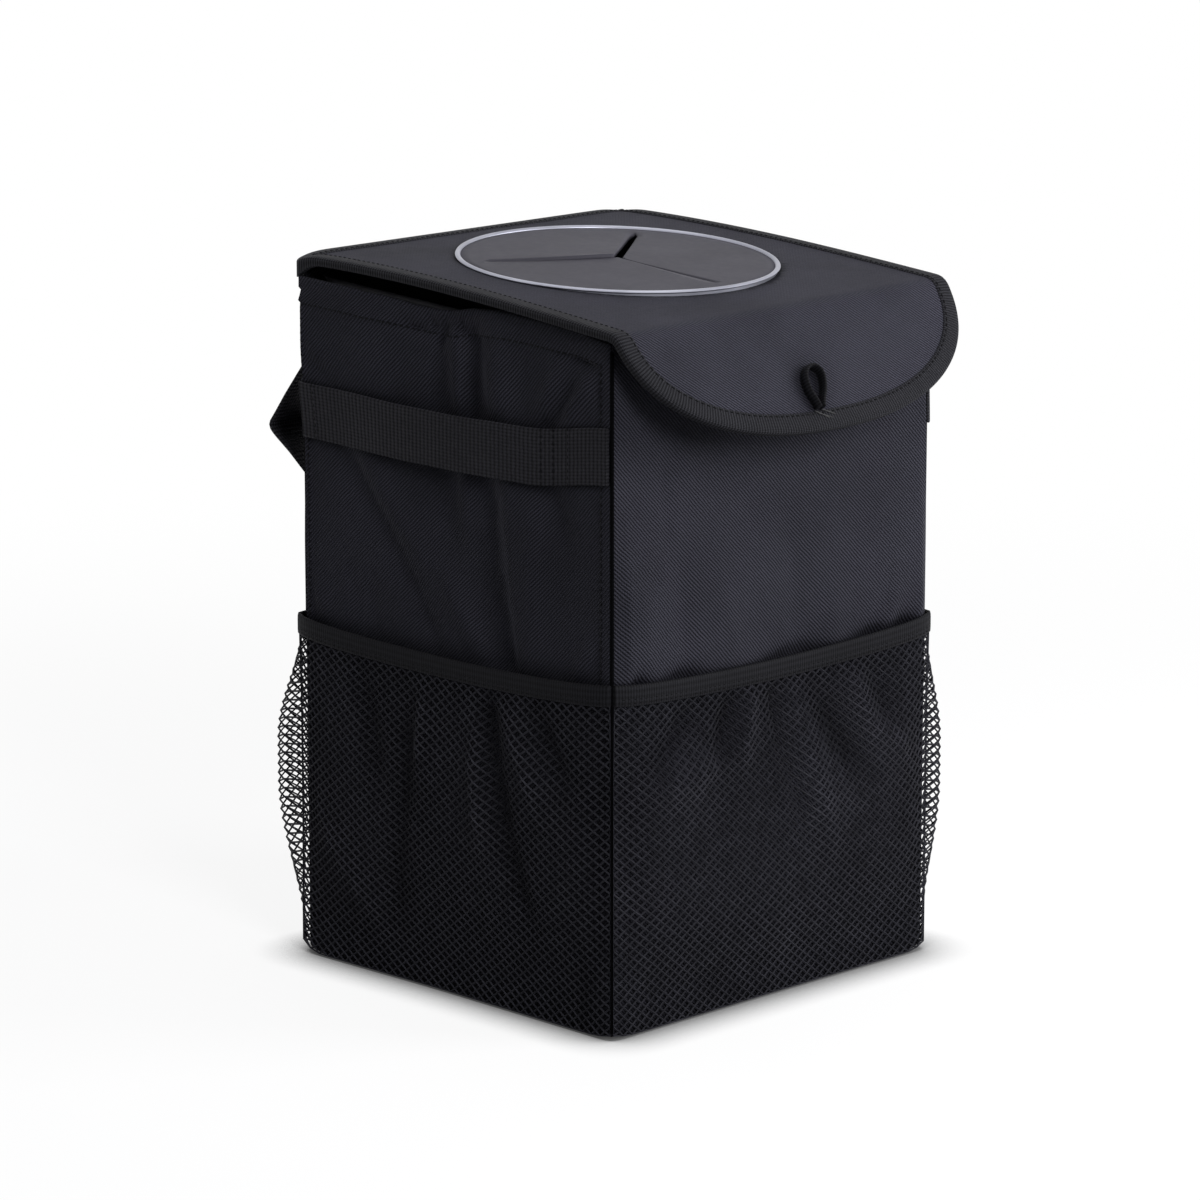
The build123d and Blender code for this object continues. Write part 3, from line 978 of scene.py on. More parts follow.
PANEL_FOLDS = {
    Side.LEFT: folds(
        (-12, 293, -24, 272, 9, 1.6), (-34, 300, -16, 297, 2.4, -2.6), (-16, 303, -8, 294, 2.6, -3.0),
        (-4, 305, -10, 293, 2.6, -3.0), (0, 306, 8, 296, 2.8, -3.2), (-13, 297, -4, 290, 2.0, 1.4),
        (-11, 296, -11, 258, 20, -4.2, 0.45), (1, 294, 2, 264, 4, 2.6), (21, 294, 26, 264, 4.5, 2.4, 2.4),
        (9, 304, 15, 292, 4, -2.6), (9, 298, 11, 258, 6, -4.2, 1.6), (28, 298, 28, 266, 8, 1.3),
        (-90, 287, -73, 270, 3.2, 1.8), (-84, 277, -70, 266, 4, -2.0), (64, 289, 52, 270, 4.5, 2.4),
        (57, 270, 55, 264, 5, -2.2), (87, 292, 66, 267, 5, 3.2), (76, 290, 61, 267, 4, -2.6),
        (70, 297, 91, 294, 2.4, -2.4), (-55, 296, -50, 270, 12, 1.2), (44, 297, 40, 270, 8, -1.2),
        (-72, 243, -34, 195, 10, -2.8, 0.45), (-34, 195, -11, 157, 10, -3.0, 0.45),
        (-60, 241, -20, 193, 7, 1.5), (-73, 211, -61, 159, 3.5, 0.9), (-70, 200, -59, 159, 2.4, -1.6),
        (-54, 182, -50, 158, 5, -1.4), (-92, 185, -82, 160, 4, 1.8), (-8, 248, -6, 205, 13, -3.2, 0.6),
        (4, 246, 5, 210, 4, 1.8), (16, 250, 22, 215, 20, -3.6, 0.42), (30, 246, 34, 212, 5, 2.4, 2.4),
        (34, 216, 38, 178, 5, 2.2, 2.4), (37, 182, 45, 152, 5, 2.2, 2.4), (20, 219, 27, 178, 20, -3.6, 0.42),
        (26, 186, 35, 148, 20, -4.0, 0.4), (47, 234, 51, 166, 7, 1.6), (13, 236, 21, 172, 4, 0.9),
        (-10, 192, 14, 159, 5, 2.1), (57, 246, 70, 212, 12, -2.6, 0.5), (86, 178, 75, 157, 4, 2.4),
        (-20, 150, -10, 110, 16, 1.0), (30, 140, 24, 60, 18, 1.0)),
    Side.RIGHT: folds(
        (33, 300, 36, 268, 9, 2.2), (16, 298, 12, 268, 7, -1.6), (2, 304, 3, 280, 4, -2.0),
        (-5, 304, -12, 284, 4, 1.8), (-26, 298, -22, 266, 8, 2.4), (-62, 292, -66, 268, 6, -1.8),
        (66, 292, 60, 270, 8, 1.4), (72, 226, 48, 164, 8, 1.6), (50, 238, 24, 158, 7, -1.9),
        (28, 240, 6, 162, 9, 1.9), (-14, 240, -30, 176, 7, -1.8), (-34, 240, -48, 164, 9, 1.9),
        (-58, 236, -60, 164, 7, -1.5), (10, 140, -8, 60, 18, 1.0)),
    Side.FRONT: folds(
        (-84, 199, -82, 158, 8, 1.4), (-92, 204, -68, 199, 3.5, -1.2), (-62, 206, -57, 160, 8, -2.0),
        (-68, 154, -50, 153, 5, -5.0), (-91, 156, -82, 155, 4.5, -5.0), (-36, 192, -26, 156, 9, 1.2),
        (8, 214, 14, 160, 10, -2.0), (-6, 152, 25, 152, 5.5, -5.2), (35, 176, 35, 154, 7, 1.2),
        (52, 153, 67, 154, 5, -5.0), (76, 175, 68, 156, 3.5, 1.5), (75, 154, 87, 155, 5, -5.0),
        (92, 171, 91, 158, 3, 1.2), (-69, 254, -66, 206, 2.5, -0.8)),
    Side.BACK: folds(
        (60, 200, 54, 156, 8, -1.8), (30, 190, 26, 156, 9, 1.2), (-6, 206, -14, 154, 9, -2.0),
        (-40, 180, -36, 154, 8, 1.2), (-62, 168, -60, 152, 6, -1.5)),
}
FRONT_GATHERS = folds(
    (-56, 147, -77, 119, 6, -2.8), (-30, 147, -43, 107, 6.5, -4.0), (-7, 147, -1, 118, 3.8, -3.4),
    (-1, 118, 15, 75, 4.5, -2.6), (22, 136, 52, 94, 8, -3.8), (58, 142, 69, 115, 5, -2.6),
    (-19, 147, -27, 116, 5, 3.2), (-27, 116, -80, 108, 8, 3.2), (9, 127, 30, 69, 9, 3.4),
    (44, 143, 57, 114, 5, 2.8), (57, 114, 84, 96, 8, 2.4), (-10, 30, 20, 28, 18, 1.2))
LEFT_GATHERS = folds(
    (26, 143, 34, 107, 5, -4.6), (34, 107, 39, 85, 5, -4.4), (39, 85, 52, 45, 5.5, -3.4),
    (-20, 129, -28, 72, 6, -3.8), (-28, 72, -34, 29, 6, -2.8), (-53, 143, -39, 87, 6, -2.8),
    (20, 125, 24, 75, 6, 3.2), (-14, 137, -17, 103, 5, 2.8), (40, 135, 60, 99, 7, 3.2),
    (-82, 73, -38, 17, 9, 2.4), (57, 141, 77, 109, 4.5, -2.8), (83, 31, 84, 5, 4, -2.6))
FULL_GATHERS = folds((-50, 140, -46, 60, 14, 1.5), (-12, 140, -8, 50, 13, -1.5), (30, 140, 26, 60, 14, 1.5))


@dataclass
class Webbing:
    """A webbing handle on a soft side."""

    side: Side
    level: float = field(default_factory=lambda: node_middle("left_handle").z)
    wide: float = 25.0
    thick: float = 1.6
    puff: float = 0.05
    close: float = 0.1
    slack: float = 3.8
    slack_power: float = 1.3
    sewn: float = 28.0
    sag: float = 1.6
    front_up: float = 4.4
    front_end: Ramp = Ramp(48.0, 99.0)
    back_gap: float = 5.0
    front_gap: float = 1.6
    sway: Ripple = Ripple(0.35, 30.0, 20.0, 1.5)
    sway_out: float = 0.3
    steps: int = 90
    tacks: tuple[float, ...] = (-83.7, 57.0, 64.0, 72.6)
    tack_half: int = 12
    thread_out: float = 0.15

    def line(self, along: float) -> float:
        """Follows the webbing's middle line, which hangs a little and ends higher in front.

        Args:
            along: Place along the side.

        Returns:
            Height over the floor.
        """
        front = along if self.side is Side.LEFT else -along
        share = along / self.side.half
        return self.level + self.sag * (share * share - 0.5) + self.front_up * self.front_end(front)

    def stop(self, step: int) -> float:
        """Finds where a step lies; the webbing ends shorter at the back.

        Args:
            step: The step, from 0.

        Returns:
            Place along the side.
        """
        low, high = self.back_gap, self.front_gap
        if self.side is not Side.LEFT:
            low, high = high, low
        return -self.side.half + low + (2 * self.side.half - low - high) * (step / self.steps)

    def out(self, along: float) -> float:
        """Finds how far the webbing's back stands out from the panel."""
        share = min(abs(along) / (self.side.half - self.sewn), 1.0)
        return self.close + self.slack * (1 - share * share) ** self.slack_power

    def build(self) -> None:
        """Builds the handle, which rides on the bin."""

        def place(step: int, across: float, out: float) -> Vector:
            """A corner of the webbing."""
            along = self.stop(step)
            sway = self.sway(along, across)
            hold = self.out(along) + self.thick / 2 + out + self.sway_out * sway
            return self.side.place(along, hold, self.line(along) + across + sway)

        section = band_section(self.wide, self.thick, self.puff)
        draft = ribbon(f"{self.side.label}_webbing_handle", section, self.steps, place, self.stop)
        piece = draft.piece(WEBBING, "webbing", [f"{self.side.label}_handle"])
        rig.ride(piece, "bin")

    def sew(self, rows: Stitches) -> None:
        """Sews the webbing's ends down.

        Args:
            rows: The stitches that it adds rows to.
        """
        facing = self.side.facing
        flip = 1.0 if self.side is Side.LEFT else -1.0
        for tack in self.tacks:
            along = tack * flip
            hold = self.out(along) + self.thick + self.thread_out
            heights = range(-self.tack_half, self.tack_half + 1, 2)
            line = [self.side.place(along, hold, self.line(along) + dz) for dz in heights]
            rows.row(line, lambda p: facing)


@dataclass
class Bag:
    """The sewn cloth shell: four walls and a base, soft at the sides."""

    wall: float = 306.0
    straight: float = 250.0
    corner: float = 1.3
    groove: float = 0.8
    groove_reach: float = 0.9
    groove_from: Ramp = Ramp(2.0, 8.0)
    foot: float = 1.7
    base_under: float = 8.0
    cloth: float = 1.2
    border: float = 7.0
    hem: float = 12.0
    emboss: float = 0.5
    rim_line: tuple[float, ...] = (306.4, 310.2, 311.8, 312.4, 310.7, 308.8, 310.8, 312.3, 313.4)
    rim_wave: Ripple = Ripple(0.5, 14.0, 1.0, 5.0)
    rim_row: float = 3.0
    rim_dip: float = 2.4
    dip_at: float = -4.0
    dip_reach: float = 15.0
    back_rim: float = 315.4
    corner_lift: tuple[float, float, float, float] = (1.5, 3.0, 4.0, 5.0)
    lift_reach: float = 14.0
    lift_fade: Ramp = Ramp(0.0, 30.0)
    # Radius of the dark tube that paints the shade in each corner seam's slit, and how far it stands out.
    seam: float = 0.85
    seam_out: float = 0.45
    board_edge: Ramp = Ramp(0.5, 9.0)
    board_foot: Ramp = Ramp(4.0, 40.0)
    board_wave: Ripple = Ripple(0.5, 34.0, 110.0, 9.0)
    board_out: float = 0.2
    board_in: float = 0.4
    loose: float = 3.5
    loose_from: Ramp = Ramp(136.0, 152.0)
    loose_to: Ramp = Ramp(185.0, 245.0)
    soft_edge: Ramp = Ramp(5.0, 16.0)
    soft_foot: Ramp = Ramp(6.0, 40.0)
    soft_wave: Ripple = Ripple(0.5, 24.0, 50.0, 4.0)
    fine_wave: Ripple = Ripple(0.25, 10.0, 24.0, 8.0)
    most: float = 4.0
    low_free: float = 1.2
    over_band: Ramp = Ramp(160.0, 172.0)
    handle: Webbing = field(default_factory=lambda: Webbing(Side.LEFT))
    handle_gap: float = 0.3
    past_handle: Ramp = Ramp(12.0, 17.0)
    past_room: float = 8.0
    close_lines: tuple[float, ...] = (0.0, 0.4, 0.9, 1.6, 2.6, 4.4, 6.2, 6.9, 7.6, 9.5, 12.0)
    spans: int = 52
    low_rows: tuple[float, ...] = (0.0, 0.3, 0.9, 1.8, 3.4, 6.0, 9.0)
    row_step: float = 3.3
    middle_rows: int = 85
    hem_rows: tuple[float, ...] = (293.6, 294.6, 295.4, 296.2, 298.5, 301.5, 304.6, 306.0)
    corner_run: float = 0.4
    thread_out: float = 0.12

    def rim(self, side: Side, along: float) -> float:
        """Finds the rim's height.

        Args:
            side: The side.
            along: Place along it.

        Returns:
            Height over the floor.
        """
        line = self.rim_line
        if not side.soft:
            return line[0] if side is Side.FRONT else self.back_rim
        share = along / side.half if side is Side.RIGHT else -along / side.half
        spot = (share + 1) / 2 * (len(line) - 1)
        low = min(int(spot), len(line) - 2)
        level = line[low] + (line[low + 1] - line[low]) * smooth(spot - low) * 0.5
        level += (line[low + 1] - line[low]) * (spot - low) * 0.5
        if side is Side.LEFT:
            level -= self.rim_dip * math.exp(-(((along - self.dip_at) / self.dip_reach) ** 2))
        return level + self.rim_wave(along, self.rim_row) * (1 - share ** 4)

    def swell(self, side: Side, along: float, z: float) -> float:
        """Finds how far the cloth stands out from the flat panel.

        Args:
            side: The side.
            along: Place along it.
            z: Height over the floor.

        Returns:
            Millimetres out.
        """
        inside = side.half - abs(along)
        lift = sum(fold.height(along, z) for fold in PANEL_FOLDS[side])
        if not side.soft:
            full = self.board_out + self.loose * self.loose_from(z) * (1 - self.loose_to(z))
            lift = full + self.board_wave(along, z) + lift
            return self.board_edge(inside) * self.board_foot(z) * max(-self.board_in, lift)
        lift += self.soft_wave(along, z) + self.fine_wave(along, z)
        below = self.rim(side, along) - z
        panel = smooth(inside, self.border - 0.5, self.border + 0.5)
        raised = self.emboss * (1 - panel * smooth(below, self.hem - 0.6, self.hem + 0.4))
        room = self.handle.out(along) - self.handle_gap
        room += self.past_room * self.past_handle(abs(z - self.handle.level))
        room = min(room, self.low_free + self.most * self.over_band(z), self.most)
        free = self.soft_edge(inside) * self.soft_foot(z)
        return max(-self.most, min(room, free * lift)) + raised - self.emboss

    def columns(self) -> list[tuple[Side, float]]:
        """Lists the upright lines of the shell's grid.

        Returns:
            Side and place along it, once round from the front's left edge, the first repeated at the end.
        """
        close = self.close_lines
        lines: list[tuple[Side, float]] = []
        for side in Side:
            inner = side.half - close[-1]
            middle = [-inner + 2 * inner * index / self.spans for index in range(1, self.spans)]
            stops = [-side.half + c for c in close] + middle + [side.half - c for c in reversed(close)]
            lines += [(side, stop) for stop in stops[:-1]]
        return lines + [(Side.FRONT, -Side.FRONT.half)]

    def heights(self) -> list[float]:
        """Lists the heights of the grid's rows."""
        middle = [self.low_rows[-1] + self.row_step * index for index in range(1, self.middle_rows + 1)]
        return [*self.low_rows, *middle, *self.hem_rows]

    def low_edge(self, side: Side, along: float) -> float:
        """Finds how far the base seam is lifted near the corners.

        Args:
            side: The side.
            along: Place along it.

        Returns:
            Height over the floor.
        """
        order = list(Side).index(side)
        high = self.corner_lift[order if along < 0 else (order + 1) % 4]
        return high * max(0.0, 1 - (side.half - abs(along)) / self.lift_reach) ** 2

    def wall_point(self, side: Side, along: float, level: float) -> Vector:
        """Finds a point of the shell's outside.

        Args:
            side: The side.
            along: Place along it.
            level: Height on the grid's wall.

        Returns:
            The point.
        """
        z = level
        if level >= self.straight:
            stretch = self.rim(side, along) - self.straight
            z = self.straight + (level - self.straight) * stretch / (self.wall - self.straight)
        out = self.swell(side, along, z)
        under = self.foot - math.sqrt(max(self.foot ** 2 - max(self.foot - z, 0.0) ** 2, 0.0))
        half_x, half_y = Side.FRONT.half - under, Side.RIGHT.half - under
        spot = side.place(along * (side.half - under) / side.half, out - under, z)
        z += self.low_edge(side, along) * (1 - self.lift_fade(z))
        spot.z = z
        core = Vector((max(-half_x + self.corner, min(half_x - self.corner, spot.x)),
                       max(-half_y + self.corner, min(half_y - self.corner, spot.y)), z))
        reach = spot - core
        if abs(reach.x) > TINY and abs(reach.y) > TINY:
            gap = side.half - abs(along)
            groove = self.groove * math.exp(-((gap / self.groove_reach) ** 2)) * self.groove_from(z)
            spot = core + reach.normalized() * (self.corner - groove)
        return spot

    def build(self) -> None:
        """Builds the shell, which rides on the bin."""
        lines, levels = self.columns(), self.heights()
        run = [0.0]
        for (before, first), (side, second) in zip(lines, lines[1:]):
            run.append(run[-1] + (abs(second - first) if side is before else self.corner_run))

        def place(column: int, row: int) -> Vector:
            """A corner of the wall."""
            return self.wall_point(*lines[column], levels[row])

        def flat(column: int, row: int) -> Vector:
            """The same corner on the cut cloth, with the sides cut the other way round."""
            side = lines[min(column, len(lines) - 2)][0]
            return Vector((-run[column] if side.soft else run[column], levels[row], 0.0))

        draft = Draft("bag_cloth")
        made = draft.weave(len(lines) - 1, len(levels) - 1, place, flat, closed=True)
        for face in draft.base(made, self.base_under):
            for loop in face.loops:
                loop[draft.map].uv = loop.vert.co.to_2d() * MM
        draft.outward(from_axis)
        nodes = ["front_panel", "back_panel", "left_panel", "right_panel", "bottom_panel"]
        piece = thicken(draft.piece(TWILL, "twill", nodes), self.cloth)
        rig.ride(piece, "bin")
        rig.sheet(piece, flat=(0.79, 0.40), area=0.282, held="stretched",
                 rests_on=["front_board", "back_board", "bottom_board"])

    def close(self) -> None:
        """Lays a thin near-black tube along the four corners, from the base to the rim: painted shade in the slit of
        each corner seam.
        """
        draft = Draft("corner_seams")
        round_steps, seam_rows, first, step = 8, 76, 2.0, 4.0
        for side in Side:
            angle = math.radians(side.turn - 45)
            way = Vector((math.sin(angle), -math.cos(angle), 0))
            aside = Vector((-way.y, way.x, 0))
            spots = [self.wall_point(side, -side.half, first + step * index) for index in range(seam_rows)]

            def place(column: int, row: int) -> Vector:
                """A corner of the seam."""
                turn = 2 * math.pi * column / round_steps
                core = spots[row] + way * self.seam_out
                return core + (way * math.cos(turn) + aside * math.sin(turn)) * self.seam

            draft.weave(round_steps, seam_rows - 1, place, lambda c, r: Vector((c, r, 0)), closed=True)
        piece = draft.capped().piece(SLIT_SHADE, "tape", sharp=180.0)
        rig.ride(piece, "bin")

    def sew(self) -> None:
        """Sews the borders and hems of the soft sides."""
        rows = Stitches("bag_stitches")
        low, high, step, hem_down, border_in = 160, 296, 3, 1.2, 0.4
        for side in (Side.LEFT, Side.RIGHT):
            facing = side.facing
            lift = facing * self.thread_out
            for along in (-side.half + self.border - border_in, side.half - self.border + border_in):
                line = [self.wall_point(side, along, z) + lift for z in range(low, high, step)]
                rows.row(line, lambda p, out=facing: out)
            reach = int(side.half - self.border - 1)
            level = self.wall - self.hem + hem_down
            hem = [self.wall_point(side, along, level) + lift for along in range(-reach, reach + 1, step)]
            rows.row(hem, lambda p, out=facing: out)
        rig.ride(rows.piece(), "bin")


@dataclass
class Lining:
    """The waterproof bag inside."""

    half_x: float = 94.4
    half_y: float = 92.4
    round: float = 9.0
    low: float = 4.2
    foot: float = 7.0
    thick: float = 0.5
    front_top: float = 303.6
    rise: float = 9.2
    rise_half: float = 95.0
    flare: float = 3.4
    flare_tall: float = 2.2
    sway: Ripple = Ripple(1.1, 9.0, 55.0, 6.0)
    sway_in: float = 0.4
    sway_from: Ramp = Ramp(15.0, 60.0)
    sway_to: Ramp = Ramp(270.0, 296.0)
    columns: int = 150
    rows: int = 100
    row_tall: float = 5.0

    def top(self, y: float) -> float:
        """Finds the lining's upper edge at a distance behind the middle."""
        return self.front_top + self.rise * (y + self.rise_half) / (2 * self.rise_half)

    def outline(self, at: float) -> tuple[Vector, Vector]:
        """Walks round the lining from the front's right corner.

        Args:
            at: The length walked.

        Returns:
            A point of the outline and its outward direction.
        """
        wide, deep = self.half_x - self.round, self.half_y - self.round
        arc = math.pi * self.round / 2
        runs = ((wide, -deep, 2 * deep), (wide, deep, 2 * wide),
                (-wide, deep, 2 * deep), (-wide, -deep, 2 * wide))
        for corner, (x, y, long) in enumerate(runs):
            start = math.radians(-90 + 90 * corner)
            if at <= arc:
                turn = start + at / self.round
                out = Vector((math.cos(turn), math.sin(turn), 0))
                return Vector((x, y, 0)) + out * self.round, out
            at -= arc
            if at <= long:
                out = Vector((math.cos(start + math.pi / 2), math.sin(start + math.pi / 2), 0))
                return Vector((x, y, 0)) + out * self.round + Vector((-out.y, out.x, 0)) * at, out
            at -= long
        return Vector((wide, -deep - self.round, 0)), Vector((0, -1, 0))

    def build(self) -> None:
        """Builds the lining, which rides on the bin."""
        straight = 4 * (self.half_x - self.round + (self.half_y - self.round))
        loop = straight + 4 * (math.pi * self.round / 2)

        def place(column: int, row: int) -> Vector:
            """A corner of the lining's wall."""
            spot, out = self.outline((column % self.columns) / self.columns * loop)
            top = self.top(spot.y)
            z = self.low + (top - self.low) * row / self.rows
            under = max(0.0, self.foot - (z - self.low))
            inset = self.foot - math.sqrt(max(self.foot ** 2 - under * under, 0.0))
            sway = self.sway(column if column < self.columns else 0.0, z) - self.sway_in
            sway *= self.sway_from(z) * (1 - self.sway_to(z))
            flare = self.flare * abs(out.y) * smooth(z, top - self.flare_tall, top)
            return spot - out * (inset - sway - flare) + Vector((0, 0, z))

        def flat(column: int, row: int) -> Vector:
            """The same corner on the flat film."""
            return Vector((column * loop / self.columns, row * self.row_tall, 0))

        draft = Draft("lining_bag")
        made = draft.weave(self.columns, self.rows, place, flat, closed=True)
        draft.base(made, self.low + 1e-3)
        draft.outward(from_axis)
        piece = thicken(draft.piece(FILM, "lining", ["lining"]), self.thick)
        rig.ride(piece, "bin")
        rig.sheet(piece, flat=(0.74, 0.40), area=0.262, held="hung", rests_on=["bag_cloth"])


@dataclass
class Pocket:
    """A net pocket with its elastic edge."""

    side: Side
    bulge: float
    ease: float
    gathers: tuple[Fold, ...]
    cells: tuple[int, int] = (36, 35)
    strand: float = 0.95
    seam: float = 0.9
    ease_power: float = 1.3
    belly_low: float = 74.0
    low_power: float = 0.8
    belly_high: Ramp = Ramp(-6.0, 58.0)
    lip_low: float = 40.0
    lip_share: float = 0.4
    wave: Ripple = Ripple(0.5, 22.0, 40.0, 7.0)
    free_edge: Ramp = Ramp(3.0, 24.0)
    free_foot: Ramp = Ramp(10.0, 45.0)
    free_top: Ramp = Ramp(0.0, 14.0)
    least: float = 0.3
    least_more: float = 0.9
    least_edge: Ramp = Ramp(0.0, 3.0)
    # Painted shade and light on the strands: their plain colour share, how much a gather's lift changes it, and its
    # least.
    tone: float = 0.55
    tone_gain: float = 0.12
    tone_least: float = 0.12
    band_top: float = 158.8
    band_tall: float = 9.6
    band_thick: float = 1.7
    band_over: float = 2.0
    band_past: float = 0.2
    band_steps: int = 96
    dip: float = 3.6
    close: float = 0.25
    mouth: float = 4.2
    mouth_reach: float = 9.0
    inset: float = 0.4
    sewn: tuple[float, float] = (1.6, 3.3)
    sewn_short: int = 4
    thread_out: float = 0.12
    bag: Bag = field(default_factory=Bag)

    def edge(self, along: float) -> float:
        """Finds the height of the band's middle line at a place along the side."""
        share = along / self.side.half
        return self.band_top - self.band_tall / 2 - self.dip * (1 - share * share)

    def stand_off(self, along: float) -> float:
        """Finds how far the band's back stands out from the panel."""
        inside = self.side.half - self.inset - abs(along)
        return self.close + self.mouth * (1 - math.exp(-max(inside, 0.0) / self.mouth_reach))

    def gathered(self, along: float, z: float) -> float:
        """Finds how far the gathers lift the net."""
        return sum(fold.height(along, z) for fold in self.gathers)

    def net_out(self, along: float, z: float) -> float:
        """Finds how far the net stands out from the panel.

        Args:
            along: Place along the side.
            z: Height over the floor.

        Returns:
            Millimetres out.
        """
        inside = max(self.side.half - self.inset - abs(along), 0.0)
        below = self.edge(along) - z
        across = 1 - math.exp(-((inside / self.ease) ** self.ease_power))
        low = smooth(z, self.seam, self.belly_low) ** self.low_power
        high = self.belly_high(below)
        lip = self.stand_off(along) + self.band_thick * self.lip_share
        belly = lip * (1 - high) * smooth(z, self.seam, self.lip_low) + self.bulge * across * low * high
        sway = self.gathered(along, z) + self.wave(along, z)
        free = self.free_edge(inside) * self.free_foot(z) * self.free_top(below)
        return max(self.least_more * self.least_edge(inside) + self.least, belly + sway * free)

    def build_net(self) -> None:
        """Builds the net from real strands, with painted shade and light: their colour is darker in the gathers'
        hollows and lighter on their ridges. It rides on the bin.
        """
        draft = Draft(f"{self.side.label}_pocket_net")
        mesh = draft.mesh
        bmesh.ops.create_grid(mesh, x_segments=self.cells[0], y_segments=self.cells[1], size=1.0)
        square = [e for e in mesh.edges if not e.is_boundary]
        bmesh.ops.poke(mesh, faces=mesh.faces[:])
        bmesh.ops.dissolve_edges(mesh, edges=square, use_verts=False)
        reach = self.side.half - self.inset
        for v in mesh.verts:
            along = v.co.x * reach
            top = self.edge(along) - self.band_tall / 2 + self.band_over
            low = self.seam + self.bag.low_edge(self.side, along)
            z = low + (top - low) * (v.co.y + 1) / 2
            v.co = self.side.place(along, self.net_out(along, z), z)
        facing = self.side.facing
        draft.outward(lambda p: facing)
        bmesh.ops.wireframe(mesh, faces=mesh.faces[:], thickness=self.strand, offset=0.0, use_replace=True,
                            use_boundary=False, use_even_offset=True)
        turn_back = Matrix.Rotation(math.radians(-self.side.turn), 3, "Z")
        for v in mesh.verts:
            # Painted shade and light: each strand's colour share follows the gathers' lift and goes into the cloth
            # map's first way.
            lift = self.gathered((turn_back @ v.co).x, v.co.z)
            share = min(max(self.tone + self.tone_gain * lift, self.tone_least), 1.0)
            for loop in v.link_loops:
                loop[draft.map].uv = (share, v.co.z * MM)
        piece = draft.closed_out().piece(NET, "net", [f"{self.side.label}_net"], sharp=35.0)
        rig.ride(piece, "bin")

    def build_band(self) -> None:
        """Builds the elastic edge, which rides on the bin."""
        reach = self.side.half - self.inset + self.band_past

        def stop(step: int) -> float:
            """A step's place along the side, with close steps at both ends."""
            return reach * math.sin(math.pi * (step / self.band_steps - 0.5))

        def place(step: int, across: float, out: float) -> Vector:
            """A corner of the band."""
            along = stop(step)
            hold = self.stand_off(along) + self.band_thick / 2
            return self.side.place(along, hold + out, self.edge(along) + across)

        section = band_section(self.band_tall, self.band_thick)
        draft = ribbon(f"{self.side.label}_pocket_edge", section, self.band_steps, place, stop)
        piece = draft.piece(ELASTIC, "elastic", [f"{self.side.label}_elastic"])
        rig.ride(piece, "bin")

    def sew(self, rows: Stitches) -> None:
        """Sews the two lines along the lower half of the band.

        Args:
            rows: The stitches that it adds rows to.
        """
        facing = self.side.facing
        reach = int(self.side.half) - self.sewn_short
        for drop in self.sewn:
            line = []
            for along in range(-reach, reach + 1, 3):
                out = self.stand_off(along) + self.band_thick + self.thread_out
                line.append(self.side.place(along, out, self.edge(along) - drop))
            rows.row(line, lambda p: facing)


@dataclass
class HangingStrap:
    """A folded loop of webbing on the back."""

    left: bool
    level: float = field(default_factory=lambda: node_middle("left_strap").z + 1.4)
    rise: float = 27.0
    out: float = 28.6
    droop: float = 5.4
    tab: float = 12.0
    wide: float = 25.0
    thick: float = 1.6
    puff: float = 0.05
    edge: float = 5.0
    step: float = 2.0
    flare: float = 0.4
    relax: float = 0.35

    def route(self) -> Stops:
        """Follows the strap down from its upper tab.

        Returns:
            Stops along its middle line: distance out from the back, and height over its level.
        """
        flat, lean = self.thick / 2 + 0.2, self.thick / 2 + 1.4
        out, rise, droop = self.out, self.rise, self.droop
        corners = ((flat, rise + self.tab), (flat, rise + 3), (lean, rise - 1.5),
                   (out * 0.55, rise * 0.46 - droop * 0.5), (out - 3.6, 3.4 - droop),
                   (out - 1.0, 0.4 - droop), (out - 1.2, -1.6 - droop), (out - 4.2, -4.2 - droop),
                   (out * 0.5, -rise * 0.5 - droop * 0.5), (lean, -rise + 1.5), (flat, -rise - 3),
                   (flat, -rise - self.tab))
        return evenly([Vector((0, y, z)) for y, z in corners], self.step)

    def build(self) -> None:
        """Builds the strap, which rides on the bin."""
        line = self.route()
        middle = Side.FRONT.half - self.edge - self.wide / 2
        label = "left" if self.left else "right"

        def place(step: int, across: float, lift: float) -> Vector:
            """A corner of the strap."""
            spot, ahead, _ = line[step]
            normal = Vector((0, -ahead.z, ahead.y))
            side = -middle if self.left else middle
            there = Vector((side + across, Side.BACK.reach, spot.z + self.level))
            shift = Vector((there.x, there.y, self.level))
            return spot + normal * lift + shift + self.flare * corner_flare(there)

        section = band_section(self.wide, self.thick, self.puff)
        draft = ribbon(f"{label}_hanging_strap", section, len(line) - 1, place, lambda step: line[step][2])
        bmesh.ops.smooth_vert(draft.mesh, verts=draft.mesh.verts[:], factor=self.relax, use_axis_y=True,
                              use_axis_z=True)
        piece = draft.piece(WEBBING, "webbing", [f"{label}_strap"])
        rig.ride(piece, "bin")


FLAP_ROW = 1000


